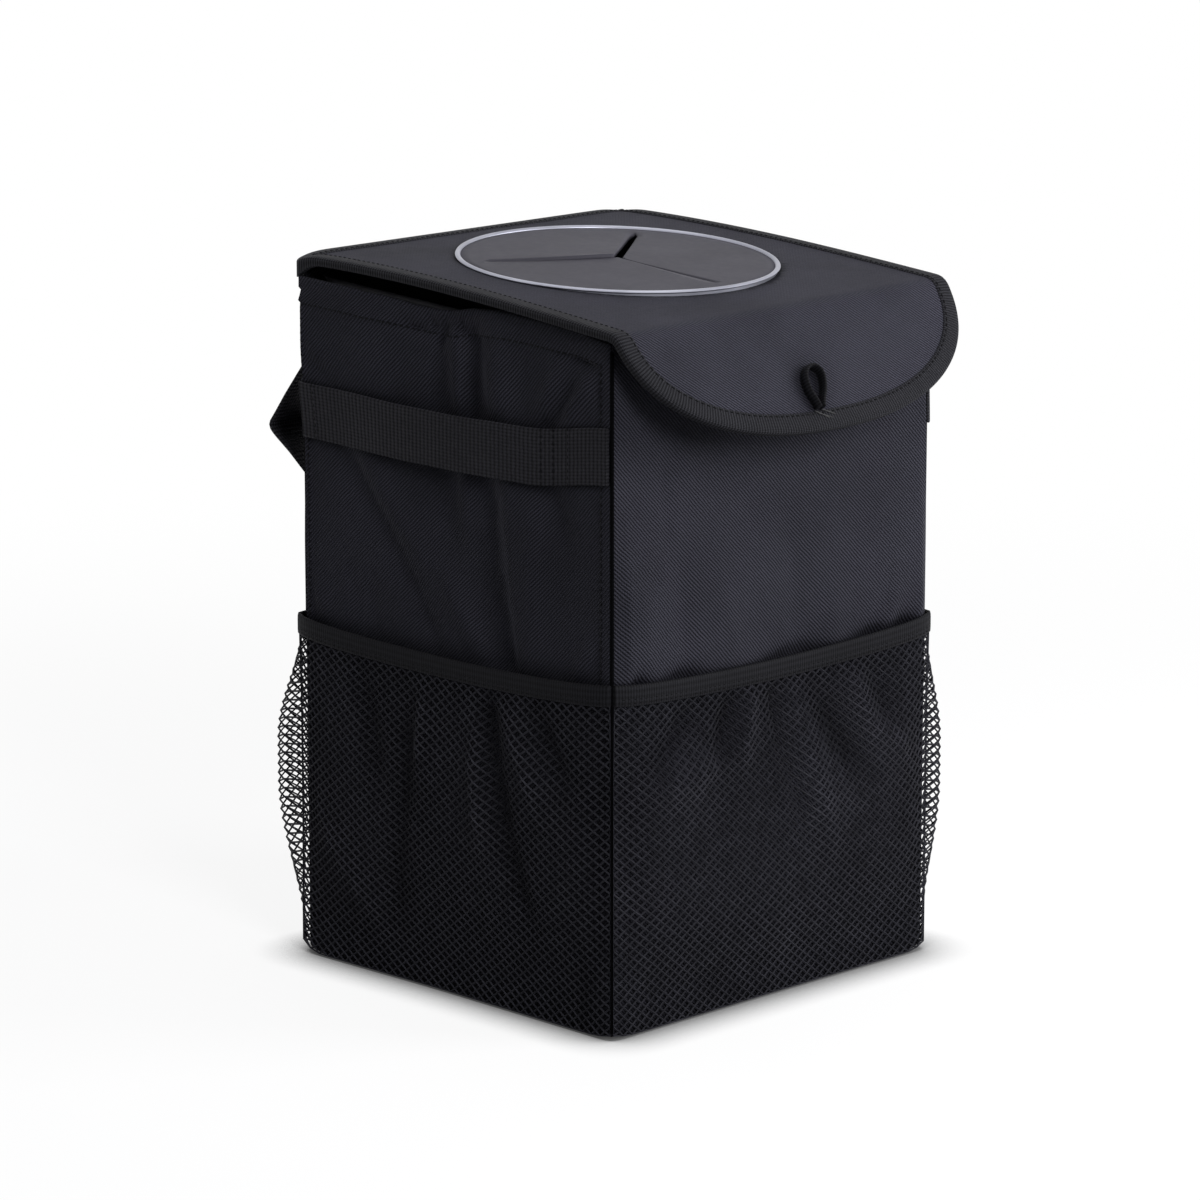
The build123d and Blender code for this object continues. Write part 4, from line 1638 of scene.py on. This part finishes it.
@dataclass
class LidForm:
    """The bowed lid and its hanging flap as one sheet, bent softly at the fold."""

    hinge: Vector = field(default_factory=lambda: joint_line("lid_hinge"))
    fold: Vector = field(default_factory=lambda: joint_line("flap_fold"))
    half: float = field(default_factory=lambda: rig.box("lid_binding")[1].x / MM)
    drop: float = math.radians(55.0)
    corner: float = 6.0
    flap: float = 59.0
    power: float = 2.3
    middle: float = 3.3
    bend: float = 5.0
    rise: float = 3.5
    peak: float = 0.85
    front_low: float = -0.3
    right_up: float = 0.9
    right_flat: float = 0.9
    left_up: float = 1.3
    droop: float = 2.2
    left_droop: float = 2.6
    droop_reach: float = 9.0
    corner_steps: int = 12
    flap_steps: int = 60
    long: float = field(init=False)
    tilt: float = field(init=False)
    spine: list[tuple[Vector, float]] = field(default_factory=list)

    def __post_init__(self) -> None:
        """Finds the lid's length and slope, and a place and slope for each half millimetre of the sheet."""
        reach = self.hinge - self.fold
        self.long = math.sqrt(reach.length_squared - self.middle ** 2)
        self.tilt = math.atan2(reach.z, reach.y) + math.atan2(self.middle, self.long)
        spot = self.hinge + Vector((0, -math.sin(self.tilt), math.cos(self.tilt))) * self.middle
        for index in range(int(2 * (self.long + self.flap) + 20)):
            turn = smooth(index / 2, self.long - self.bend, self.long + self.bend)
            slope = self.tilt + (self.drop - self.tilt) * turn
            self.spine.append((spot.copy(), slope))
            spot = spot + Vector((0, -math.cos(slope), -math.sin(slope))) * 0.5

    def bow(self, x: float, t: float) -> float:
        """Finds how far the lid stands over its flat form.

        Args:
            x: Distance to the right of the middle.
            t: Distance from the hinge, along the cloth.

        Returns:
            Millimetres up.
        """
        share = min(max(t / self.long, 0.0), 1.0)
        right = 0.5 + 0.5 * x / self.half
        low = (self.front_low + self.right_up * right) * share + self.left_up * (1 - right) * (1 - share) ** 2
        near = math.hypot(abs(x) - self.half, t) / self.droop_reach
        droop = (self.left_droop if x < 0 else self.droop) * math.exp(-near ** 2)
        return low - droop + (self.rise - self.right_flat * right) * math.sin(math.pi * share ** self.peak)

    def normal(self, t: float) -> Vector:
        """Finds the sheet's upward direction at a distance from the hinge."""
        slope = self.spine[min(max(round(2 * t), 0), len(self.spine) - 1)][1]
        return Vector((0, -math.sin(slope), math.cos(slope)))

    def point(self, x: float, t: float, w: float) -> Vector:
        """Finds a point of the lid or flap.

        Args:
            x: Distance to the right of the middle.
            t: Distance from the hinge, along the cloth.
            w: Height over the middle of the cover.

        Returns:
            The point.
        """
        at = min(max(2 * t, 0.0), len(self.spine) - 1.001)
        low, share = int(at), at - int(at)
        first, second = self.spine[low], self.spine[low + 1]
        spot = first[0].lerp(second[0], share) + Vector((x, min(0.0, t) * -1.0, 0))
        slope = first[1] + (second[1] - first[1]) * share
        lift = Vector((0, -math.sin(self.tilt), math.cos(self.tilt))) * self.bow(x, t)
        return spot + Vector((0, -math.sin(slope), math.cos(slope))) * w + lift

    def spread(self, share: float, row: float, inset: float) -> tuple[float, float]:
        """Lays a place of a square grid on the outline's inside.

        Args:
            share: From -1 at the left edge to 1 at the right.
            row: Distance from the hinge; past the lid it is a share of the flap over FLAP_ROW.
            inset: How far inside the outline the grid ends.

        Returns:
            Distance to the right, and from the hinge along the cloth.
        """
        if row < FLAP_ROW:
            round_in = max(self.corner - row, 0.0)
            half = self.half - self.corner + math.sqrt(max(self.corner ** 2 - round_in ** 2, 0.0)) - inset
            return share * half, row
        down, p = row - FLAP_ROW, self.power
        x = (self.half - inset) * share * (1 - down ** p / 2) ** (1 / p)
        return x, self.long + (self.flap - inset) * down * (1 - abs(share) ** p / 2) ** (1 / p)

    def outline(self, step: float) -> Stops:
        """Walks round the edge of lid and flap from the middle of the hinge.

        Args:
            step: Distance between two stops.

        Returns:
            Places (right, along the cloth), directions and lengths.
        """
        half, edge = [Vector((0, 0, 0)), Vector((self.half - self.corner, 0, 0))], self.corner
        for index in range(1, self.corner_steps + 1):
            turn = math.radians(90 / self.corner_steps * index)
            half.append(Vector((self.half - edge + edge * math.sin(turn), edge - edge * math.cos(turn), 0)))
        half.append(Vector((self.half, self.long, 0)))
        for index in range(1, self.flap_steps + 1):
            turn = math.radians(90 / self.flap_steps * index)
            x = self.half * max(math.cos(turn), 0.0) ** (2 / self.power)
            half.append(Vector((x, self.long + self.flap * math.sin(turn) ** (2 / self.power), 0)))
        half[-1].x = 0.0
        return evenly(half + [Vector((-v.x, v.y, 0)) for v in reversed(half[:-1])], step)


@dataclass
class Lid:
    """The lid and flap: cover, boards, lining, binding tape and their stitches."""

    form: LidForm
    cover: float = 1.0
    board: float = 1.6
    board_in: float = 2.0
    board_short: float = 6.0
    film: float = 0.6
    tape: float = 0.6
    tape_wide: float = 9.0
    tape_thick: float = 0.5
    tape_step: float = 2.0
    corner_hang: float = 2.4
    left_hang: float = 5.0
    corner_reach: float = 9.0
    hole: float = 71.0
    hole_snap: float = 6.0
    columns: int = 64
    lid_rows: int = 56
    core_rows: int = 48
    flap_rows: int = 17
    flap_core_rows: int = 14
    fold_start: float = 9.0
    fold_rows: tuple[float, ...] = (7.0, 5.5, 4.2, 3.0, 2.0, 1.0)
    wave: Ripple = Ripple(0.25, 40.0, 40.0, 3.0)
    wave_edge: Ramp = Ramp(8.0, 25.0)
    sewn_in: float = 1.3
    sewn_out: float = 1.02
    sewn_step: float = 1.5
    strip_half: float = 91.0
    strip_thick: float = 0.6
    strip_step: float = 1.2
    strip_columns: int = 40
    strip_flare: Ramp = Ramp(0.5, 6.0)
    strip_route: Section = ((-2.3, -22.0), (-2.3, -7.0), (-1.4, -3.0), (-0.3, -1.1), (-2.5, -0.5),
                            (-7.5, -0.7))
    strip_bend: Section = ((-1.5, -4.0), (-1.0, -0.7))

    @property
    def under(self) -> float:
        """Height of the lining's underside over the cover's middle."""
        return -self.cover / 2 - self.board - self.film

    def crossing(self) -> tuple[Vector, Vector]:
        """Finds where the cloth starts and ends to turn at the fold, in metres."""
        form, reach = self.form, self.fold_rows[0]
        return form.point(0, form.long - reach, 0) * MM, form.point(0, form.long + reach, 0) * MM

    def _rows(self) -> list[float]:
        """Lists the grid's rows from the hinge to the flap's tip.

        Returns:
            The rows, closer at the fold.
        """
        form, inset = self.form, self.tape
        reach = form.long - self.fold_start - inset
        rows = [inset + reach * (index / self.lid_rows) for index in range(self.lid_rows + 1)]
        rows += [form.long - d for d in (*self.fold_rows, 0.0)]
        rows += [FLAP_ROW + d / form.flap for d in reversed(self.fold_rows)]
        past = self.fold_rows[0] / form.flap
        count = self.flap_rows
        return rows + [FLAP_ROW + past + (1 - past) * index / count for index in range(1, count + 1)]

    def _sheet(self, name: str, inset: float, height: float, rows: Sequence[float]) -> Draft:
        """Lays one sheet on the lid's form, with the round hole in it.

        Args:
            name: The piece's name.
            inset: How far inside the outline it ends.
            height: Its height over the cover's middle.
            rows: The grid's rows.

        Returns:
            The draft, facing up.
        """
        form, columns = self.form, self.columns
        draft = Draft(name)

        def place(column: int, row: int) -> Vector:
            """A corner of the sheet."""
            x, t = form.spread(2 * column / columns - 1, rows[row], inset)
            ease = self.wave(x, t) * self.wave_edge(form.half - abs(x))
            return form.point(x, t, height + ease)

        def flat(column: int, row: int) -> Vector:
            """The same corner on the cut cloth."""
            x, t = form.spread(2 * column / columns - 1, rows[row], inset)
            return Vector((x, -t, 0))

        draft.weave(columns, len(rows) - 1, place, flat)
        centre = form.point(0, form.long / 2, 0)
        inner = [f for f in draft.mesh.faces if (f.calc_center_median() - centre).length < self.hole]
        if inner:
            bmesh.ops.delete(draft.mesh, geom=inner, context="FACES")
            for v in draft.mesh.verts:
                reach = v.co - centre
                if v.is_boundary and reach.length < self.hole + self.hole_snap:
                    v.co = centre + reach * (self.hole / reach.length)
        return draft.outward(lambda p: Vector((0, -0.3, 1)))

    def build(self) -> None:
        """Builds the cover and the lining, which bend at the fold, and the two boards."""
        form, rows = self.form, self._rows()
        # The cover takes the lighter copy of the twill, which is painted light.
        cloths = (("cover", self.cover / 2, PAINTED_LIT_COVER, "twill", self.cover, -1.0),
                  ("lining", self.under, FILM, "lining", self.film, 1.0))
        for kind, height, finish, slot, thick, offset in cloths:
            draft = self._sheet(f"lid_flap_{kind}", self.tape, height, rows)
            piece = thicken(draft.piece(finish, slot, [f"lid_{kind}", f"flap_{kind}"]), thick, offset)
            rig.blend(piece, "lid", "flap", *self.crossing())
            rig.sheet(piece, flat=(0.208, 0.262), area=0.0368, held="stretched",
                     rests_on=["lid_core", "flap_core"])
        inset, short = self.board_in, self.board_short
        reach, count = form.long - short - inset, self.core_rows
        lid_rows = [inset + reach * index / count for index in range(count + 1)]
        reach, count = form.flap - short, self.flap_core_rows
        flap_rows = [FLAP_ROW + (short + reach * index / count) / form.flap for index in range(count + 1)]
        for body, core_rows in (("lid", lid_rows), ("flap", flap_rows)):
            draft = self._sheet(f"{body}_core", inset, -self.cover / 2, core_rows)
            piece = thicken(draft.piece(BOARD, "board", [f"{body}_board"]), self.board)
            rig.ride(piece, body)

    def build_tape(self) -> None:
        """Builds the binding tape round lid and flap, which bends at the fold."""
        form, wide, cloth = self.form, self.tape_wide, self.tape
        stops = form.outline(self.tape_step)
        upper = [(wide, 0.15), (wide - 0.4, 0.75), (wide - 1.2, 1.0), (wide * 0.62, 1.15),
                 (wide * 0.36, 1.15), (1.9, 1.0), (0.8, 0.55), (0.2, -0.35), (0.0, -1.4)]
        lower = [(0.2, 1.05), (0.8, 0.3), (1.9, 0.0), (wide * 0.4, -0.1), (wide * 0.7, -0.1),
                 (wide - 1.2, 0.0), (wide - 0.4, 0.2), (wide, 0.7)]
        shape = upper + lower
        girth = [0.0]
        for first, second in zip(shape, shape[1:]):
            girth.append(girth[-1] + max(abs(second[0] - first[0]), 0.5))

        def place(column: int, row: int) -> Vector:
            """A corner of the tape."""
            spot, ahead, _ = stops[column % (len(stops) - 1)]
            deep, rise = shape[row]
            spot = spot + Vector((-ahead.y, ahead.x, 0)) * deep
            if row < len(upper):
                height = self.cover / 2 + cloth * rise
            else:
                near = math.hypot(abs(spot.x) - form.half, spot.y) / self.corner_reach
                hang = self.left_hang if spot.x < 0 else self.corner_hang
                height = self.under - cloth + cloth * rise - hang * math.exp(-near * near)
            return form.point(spot.x, spot.y, height)

        def flat(column: int, row: int) -> Vector:
            """The same corner on the flat tape."""
            return Vector((stops[column][2], girth[row], 0))

        draft = Draft("edge_tape")
        draft.weave(len(stops) - 1, len(shape) - 1, place, flat, closed=True)
        middle = form.point(0, form.long / 2, 0)
        draft.outward(lambda p: Vector((p.x, p.y - middle.y, 0)))
        piece = thicken(draft.piece(TAPE, "tape", ["lid_binding", "flap_binding"]), self.tape_thick)
        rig.blend(piece, "lid", "flap", *self.crossing())

    def sew(self) -> None:
        """Sews the tape down along its inner edge, with stitches that bend at the fold."""
        form = self.form
        rows = Stitches("lid_stitches", long=2.2, gap=0.9, thick=0.85)
        flat, line = [], []
        for spot, ahead, _ in form.outline(self.sewn_step):
            at = spot + Vector((-ahead.y, ahead.x, 0)) * (self.tape_wide - self.sewn_in)
            flat.append(at.y)
            line.append(form.point(at.x, at.y, self.cover / 2 + self.tape * self.sewn_out))

        def facing(spot: Vector) -> Vector:
            """The lid's upward direction at the nearest place of the line."""
            nearest = min(range(len(line)), key=lambda index: (line[index] - spot).length_squared)
            return form.normal(flat[nearest])

        rows.row(line, facing)
        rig.blend(rows.piece(), "lid", "flap", *self.crossing())

    def build_hinge(self) -> None:
        """Builds the cloth strip that hinges the lid on the back, which bends at the hinge."""
        hinge, half, columns = self.form.hinge, self.strip_half, self.strip_columns
        line = evenly([hinge + Vector((0, y, z)) for y, z in self.strip_route], self.strip_step)

        def place(column: int, row: int) -> Vector:
            """A corner of the strip."""
            spot = line[row][0] + Vector((-half + 2 * half * column / columns, 0, 0))
            return spot + corner_flare(spot) * self.strip_flare(hinge.z - spot.z)

        def flat(column: int, row: int) -> Vector:
            """The same corner on the flat strip."""
            return Vector((-half + 2 * half * column / columns, line[row][2], 0))

        draft = Draft("hinge_cloth")
        draft.weave(columns, len(line) - 1, place, flat)
        draft.outward(lambda p: Vector((0, 1, 0.2)))
        piece = thicken(draft.piece(TWILL, "twill", ["hinge_strip"]), self.strip_thick)
        start, end = ((hinge + Vector((0, y, z))) * MM for y, z in self.strip_bend)
        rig.blend(piece, "bin", "lid", start, end)


@dataclass
class Mouth:
    """The silver ring and the slit rubber that it holds."""

    form: LidForm
    radius: float = 72.5
    lip: float = 70.0
    bore: float = 65.3
    low: float = -4.7
    collar: float = 0.4
    lift: float = 1.7
    raised: float = math.radians(0.5)
    ring_steps: int = 144
    rubber: float = 70.6
    rubber_steps: int = 96
    rubber_up: float = 2.5
    thick: float = 2.4
    slit: float = 62.0
    rings: tuple[float, ...] = (0.0, 2.0, 4.5, 8.0, 12.0, 17.0, 23.0, 29.0, 35.0, 41.0, 47.0, 53.0, 58.0)
    outer_ring: float = 66.0
    cuts: tuple[float, float, float] = (-90.0, 37.5, 150.0)
    gaps: Section = ((0.3, 1.3), (4.4, 3.9), (0.1, 0.5))
    gap_end: float = 9.0
    gap_fade: float = 5.0
    gap_from: Ramp = Ramp(-14.0, 3.0)
    sinks: tuple[float, float, float] = (0.9, 2.2, 0.9)
    sink_power: float = 1.6
    lips: tuple[float, float, float] = (-0.3, 0.6, -0.3)
    lip_spread: float = 16.0
    lip_from: float = 8.0

    def frame(self) -> Matrix:
        """Finds the ring's own frame: right, back and up from its middle.

        Returns:
            The frame, in millimetres.
        """
        form = self.form
        at = form.spine[round(form.long)][0] + form.normal(0) * self.lift
        slope = form.tilt + self.raised
        back = Vector((0, math.cos(slope), math.sin(slope)))
        up = Vector((0, -math.sin(slope), math.cos(slope)))
        turn = Matrix((Vector((1, 0, 0)), back, up)).transposed().to_4x4()
        return Matrix.Translation(at) @ turn

    def _spun(self, name: str, profile: Section, finish: Finish, slot: str, nodes: Sequence[str]) -> None:
        """Spins a closed section about the mouth's axis into a piece that rides on the lid.

        Args:
            name: The piece's name.
            profile: Its section as radius and height, in order.
            finish: What it is dressed in.
            slot: The record's material slot.
            nodes: The nodes that it stands for.
        """
        draft = Draft(name)
        draft.spin([(r, 0, z) for r, z in profile], self.ring_steps, closed=True)
        draft.move(self.frame())
        piece = draft.closed_out().piece(finish, slot, nodes)
        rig.ride(piece, "lid")

    def build_ring(self) -> None:
        """Builds the ring's bead."""
        out, lip = self.radius, self.lip
        profile = ((out - 0.9, 0.0), (out - 0.9, 2.0), (out - 0.2, 2.3), (out, 2.7), (out - 0.3, 3.2),
                   (out - 0.9, 3.5), (lip + 0.9, 3.5), (lip + 0.3, 3.1), (lip, 2.4), (lip + 0.3, 0.0))
        self._spun("ring_bead", profile, SILVER, "bezel", ["ring_bezel"])

    def build_retainer(self) -> None:
        """Builds the ring under the lid that the bead is clipped to, with a collar up to the rubber."""
        wide, low, bore, top = self.radius - 0.4, self.low, self.bore, self.collar
        profile = ((bore, top), (bore, low + 0.5), (bore + 0.5, low), (wide - 0.5, low), (wide, low + 0.5),
                   (wide, low + 2.0), (self.lip, low + 2.0), (self.lip, top))
        self._spun("retainer_ring", profile, RETAINER, "retainer", ["ring_retainer"])

    def _on_slit(self, spot: Vector) -> bool:
        """Tells whether a point of the flat disc lies on one of the three slits.

        Args:
            spot: The point.

        Returns:
            Whether it does.
        """
        if spot.to_2d().length > self.slit + 0.01:
            return False
        for cut in map(math.radians, self.cuts):
            aside = spot.x * math.sin(cut) - spot.y * math.cos(cut)
            if abs(aside) < 1e-3 and spot.x * math.cos(cut) + spot.y * math.sin(cut) > -1e-3:
                return True
        return False

    def _bent(self, spot: Vector, leaf: int) -> Vector:
        """Opens the slits and sinks the leaves.

        Args:
            spot: A point of the flat disc.
            leaf: The leaf that it belongs to, counted from the first slit.

        Returns:
            The point's place.
        """
        near = 1 - min(spot.to_2d().length / self.slit, 1.0)
        shift = Vector()
        for index, way in enumerate(map(math.radians, self.cuts)):
            ahead = Vector((math.cos(way), math.sin(way), 0))
            aside = Vector((-math.sin(way), math.cos(way), 0))
            along, away = spot.dot(ahead), spot.dot(aside)
            hand = {index: 1.0, (index - 1) % 3: -1.0}.get(leaf, 0.0)
            share = min(max(along / self.slit, 0.0), 1.0)
            inner, outer = self.gaps[index]
            wide = (inner + (outer - inner) * share) * min(1.0, (1 - share) * self.gap_end) ** 0.5
            shift += aside * hand * wide / 2 * math.exp(-abs(away) / self.gap_fade) * self.gap_from(along)
        turn = math.degrees(math.atan2(spot.y, spot.x)) - self.cuts[2]
        side = math.exp(-((turn / self.lip_spread) ** 2))
        lip = self.lips[leaf] * side * near ** 0.5 * min(1.0, spot.length / self.lip_from)
        return spot + shift + Vector((0, 0, self.sinks[leaf] * near ** self.sink_power + lip))

    def build_rubber(self) -> None:
        """Builds the rubber disc, split into three leaves that bend a little, which rides on the lid."""
        draft = Draft("rubber_leaves")
        radii = (*self.rings, self.slit, self.outer_ring, self.rubber)
        draft.spin([(0, -r, 0) for r in radii], self.rubber_steps, closed=False)
        cuts = [e for e in draft.mesh.edges if all(self._on_slit(v.co) for v in e.verts)]
        bmesh.ops.split_edges(draft.mesh, edges=cuts)
        first = self.cuts[0]
        rest = {v: v.co.copy() for v in draft.mesh.verts}
        for v, spot in rest.items():
            middle = sum((f.calc_center_median() for f in v.link_faces), Vector()) / len(v.link_faces)
            angle = (math.degrees(math.atan2(middle.y, middle.x)) - first) % 360
            v.co = self._bent(spot, sum(angle > cut - first for cut in self.cuts[1:]))
        draft.move(self.frame() @ Matrix.Translation((0, 0, self.rubber_up)))
        draft.outward(lambda p: Vector((0, 0, 1)))
        piece = thicken(draft.piece(RUBBER, "rubber", ["rubber_disc"], sharp=40.0), self.thick)
        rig.ride(piece, "lid")


@dataclass
class ClosingLoop:
    """The elastic loop that closes the flap, sewn under the tape's inner edge."""

    form: LidForm
    wide: float = 4.6
    thick: float = 1.3
    puff: float = 0.3
    over: float = 0.5
    gap: float = 0.1
    lean: float = 0.28
    lean_about: float = 38.5
    step: float = 0.9
    facing_at: float = 40.0
    route: Section = ((-1.0, 49.5), (-1.8, 46.5), (-5.0, 41.0), (-5.6, 33.0), (0.0, 29.0), (5.6, 33.0),
                      (5.0, 41.0), (1.8, 46.5), (1.0, 49.5))
    tack_at: float = 50.0
    tack_over: float = 1.55
    tack_points: int = 8
    tacks: tuple[Section, ...] = (((-11.6, 50.6), (-7.0, 53.6)), ((-7.4, 50.2), (-2.6, 52.6)),
                                  ((-10.0, 51.8), (-5.0, 54.0)))

    def _line(self) -> list[Vector]:
        """Reads points along the loop's smooth line.

        Returns:
            The points, in millimetres.
        """
        curve = bpy.data.curves.new("loop_route", "CURVE")
        curve.dimensions = "3D"
        curve.resolution_u = 10
        spline = curve.splines.new("NURBS")
        spline.points.add(len(self.route) - 1)
        height = self.over + self.wide / 2 + self.gap
        for point, (x, down) in zip(spline.points, self.route):
            lean = node_middle("elastic_loop").x - self.lean * (down - self.lean_about)
            point.co = (*self.form.point(x + lean, self.form.long + down, height), 1.0)
        spline.order_u = 3
        spline.use_endpoint_u = True
        carrier = put("loop_route", curve)
        bpy.context.view_layer.update()
        line = bpy.data.meshes.new_from_object(carrier)
        points = [v.co.copy() for v in line.vertices]
        bpy.data.objects.remove(carrier)
        bpy.data.meshes.remove(line)
        return points

    def build(self) -> None:
        """Builds the loop as a ribbon that stands on edge and rides on the flap."""
        line = evenly(self._line(), self.step)
        up = self.form.normal(self.form.long + self.facing_at)

        def place(step: int, across: float, out: float) -> Vector:
            """A corner of the ribbon."""
            spot, ahead, _ = line[step]
            return spot + up * across + up.cross(ahead).normalized() * out

        section = band_section(self.wide, self.thick, self.puff)
        draft = ribbon("elastic_closing_loop", section, len(line) - 1, place, lambda step: line[step][2])
        piece = draft.piece(ELASTIC, "elastic", ["elastic_loop"])
        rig.ride(piece, "flap")
        points = [spot * MM for spot, _, _ in line]
        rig.cord(piece, exit=points[0], length=line[-1][2] * MM, diameter=self.wide * MM, far_end="object",
                stiffness="medium", lay="loose", path=points)

    def sew(self) -> None:
        """Sews the bar of close stitches over the loop's foot, which rides on the flap."""
        rows = Stitches("loop_stitches", long=3.0, gap=-2.2, thick=0.55)
        form, count = self.form, self.tack_points
        up = form.normal(form.long + self.tack_at)
        for (x, down), (end_x, end_down) in self.tacks:
            line = []
            for index in range(count + 1):
                at = form.long + down + (end_down - down) * index / count
                line.append(form.point(x + (end_x - x) * index / count, at, self.tack_over))
            rows.row(line, lambda p: up)
        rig.ride(rows.piece(TACK), "flap")


@dataclass
class Studio:
    """Camera, lamps, floor and the white surround. The floor's sizes are in metres."""

    azimuth: float = -44.915
    elevation: float = 12.908
    distance: float = 2434.7
    lens: float = 161.8
    sensor: float = 36.0
    shift_right: float = -7.053
    look_z: float = 164.1
    world_light: float = 0.05
    floor_radius: float = 2.4
    floor_fade: tuple[float, float] = (0.35, 1.1)
    floor_dark: Colour = (0.24, 0.24, 0.245)
    floor_light: Colour = (0.26, 0.26, 0.265)
    # Painted contact shadow on the floor: how far its test for the bin reaches, the range of closeness it works over,
    # and the floor's brightness from dim to full.
    contact: float = 0.026
    contact_open: tuple[float, float] = (0.42, 1.0)
    contact_glow: tuple[float, float] = (0.05, 0.88)

    def camera(self) -> None:
        """Sets the camera at the photograph's place."""
        a, e = math.radians(self.azimuth), math.radians(self.elevation)
        back = Vector((math.sin(a) * math.cos(e), -math.cos(a) * math.cos(e), math.sin(e)))
        right = Vector((math.cos(a), math.sin(a), 0))
        data = bpy.data.cameras.new("camera")
        data.lens, data.sensor_width = self.lens, self.sensor
        data.clip_start, data.clip_end = 0.05, 60.0
        camera = put("camera", data)
        camera.location = (right * self.shift_right + Vector((0, 0, self.look_z)) + back * self.distance) * MM
        camera.rotation_mode = "QUATERNION"
        camera.rotation_quaternion = (-back).to_track_quat("-Z", "Y")
        bpy.context.scene.camera = camera

    def lamp(self, name: str, place: Spot, size: float, watts: float, aim: float = 0.18) -> None:
        """Adds a soft square lamp that looks at the bin.

        Args:
            name: Its name.
            place: Where it stands, in metres.
            size: Length of its side.
            watts: Its power.
            aim: Height over the floor that it looks at.
        """
        data = bpy.data.lights.new(name, "AREA")
        data.shape, data.size, data.energy = "SQUARE", size, watts
        lamp = put(name, data)
        lamp.location = place
        lamp.rotation_mode = "QUATERNION"
        lamp.rotation_quaternion = (Vector((0, 0, aim)) - Vector(place)).to_track_quat("-Z", "Y")

    def surround(self) -> None:
        """Makes the world: soft grey light, white where it is looked at."""
        world = bpy.data.worlds.new("studio")
        bpy.context.scene.world = world
        bench = Bench.fresh(world)
        level = bench.math("MULTIPLY_ADD", bench.seen(), 1.0 - self.world_light, self.world_light)
        shade = bench.add("Background", Color=(1.0, 1.0, 1.0, 1.0), Strength=level)
        bench.add("OutputWorld", i0=shade.outputs[0])

    def floor_material(self) -> bpy.types.Material:
        """Makes the floor's material, with a painted contact shadow and a fade to white.

        Returns:
            The material.
        """
        made = bpy.data.materials.new("pale_floor")
        bench = Bench.fresh(made)
        where = bench.body()
        away = bench.add("VectorMath", {"operation": "LENGTH"}, i0=where).outputs["Value"]
        near, far = self.floor_fade
        soft = {"interpolation_type": "SMOOTHSTEP"}
        fade = bench.add("MapRange", soft, Value=away, i1=near, i2=far).outputs[0]
        tone = bench.cloud(where, 3.0, 90.0).outputs["Tone"]
        colour = bench.mix(tone, (*self.floor_dark, 1.0), (*self.floor_light, 1.0))
        matt = bench.add("BsdfDiffuse", Color=colour)
        seen = bench.seen()
        (low, high), (dim, full) = self.contact_open, self.contact_glow
        # Painted contact shadow: the floor's emission dims where the bin closes it in.
        openness = bench.openness(8, self.contact)
        glow = bench.add("MapRange", Value=openness, i1=low, i2=high, i3=dim, i4=full).outputs[0]
        shown = bench.math("MULTIPLY", seen, glow)
        lights = [bench.add("Emission", Color=(1.0, 1.0, 1.0, 1.0), Strength=level) for level in (shown, 1.0)]
        lit = bench.add("AddShader", i0=matt.outputs[0], i1=lights[0].outputs[0])
        share = bench.math("MULTIPLY", fade, seen)
        both = bench.add("MixShader", i0=share, i1=lit.outputs[0], i2=lights[1].outputs[0])
        bench.add("OutputMaterial", i0=both.outputs[0])
        return made

    def floor(self) -> None:
        """Makes the pale floor."""
        mesh = bmesh.new()
        bmesh.ops.create_circle(mesh, cap_ends=True, segments=96, radius=self.floor_radius)
        data = bpy.data.meshes.new("floor")
        mesh.to_mesh(data)
        mesh.free()
        data.materials.append(self.floor_material())
        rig.stage(put("floor", data))

    def build(self) -> None:
        """Sets up the whole studio."""
        self.camera()
        self.surround()
        self.floor()
        self.lamp("key", (-0.9, -2.6, 1.35), 0.9, 33.0)
        self.lamp("right_front", (0.66, -0.78, 0.52), 0.5, 5.0, 0.25)
        self.lamp("over", (0.2, 0.3, 2.6), 1.8, 11.0)
        bpy.context.scene.view_settings.view_transform = "Standard"


def dress_nodes() -> None:
    """Gives the boards, which stay as they are, their material."""
    for node in ("bottom_board", "front_board", "back_board"):
        data = frame["nodes"][node].data
        data.materials.clear()
        data.materials.append(BOARD.material())
        log.info("%s: %s", node, BOARD.name)


def main() -> None:
    """Builds the bin, its dress and the studio, in order."""
    logging.basicConfig(level=logging.INFO, format="%(message)s")
    Studio().build()
    form = LidForm()
    loop = ClosingLoop(form)
    loop.build()
    loop.sew()
    bag = Bag()
    bag.build()
    bag.close()
    bag.sew()
    Lining().build()
    seams = Stitches("pocket_stitches", long=1.8, gap=1.2, thick=0.5)
    for pocket in (Pocket(Side.FRONT, 7.0, 16.0, FRONT_GATHERS),
                   Pocket(Side.LEFT, 7.5, 16.0, LEFT_GATHERS, cells=(35, 35)),
                   Pocket(Side.RIGHT, 18.5, 3.0, FULL_GATHERS, cells=(35, 35)),
                   Pocket(Side.BACK, 25.0, 2.6, FULL_GATHERS)):
        pocket.build_net()
        pocket.build_band()
        pocket.sew(seams)
    for side in (Side.LEFT, Side.RIGHT):
        handle = Webbing(side)
        handle.build()
        handle.sew(seams)
    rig.ride(seams.piece(), "bin")
    for left in (True, False):
        HangingStrap(left).build()
    lid = Lid(form)
    lid.build()
    lid.build_tape()
    lid.sew()
    lid.build_hinge()
    mouth = Mouth(form)
    mouth.build_ring()
    mouth.build_retainer()
    mouth.build_rubber()
    dress_nodes()
    boxes = {"cad": [list(c) for c in CAD_BOX], "visual": [list(c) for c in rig.bounds()]}
    with open("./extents.json", "w") as file:
        json.dump(boxes, file)
    log.info("size %s", boxes)


if __name__ == "__main__":
    main()
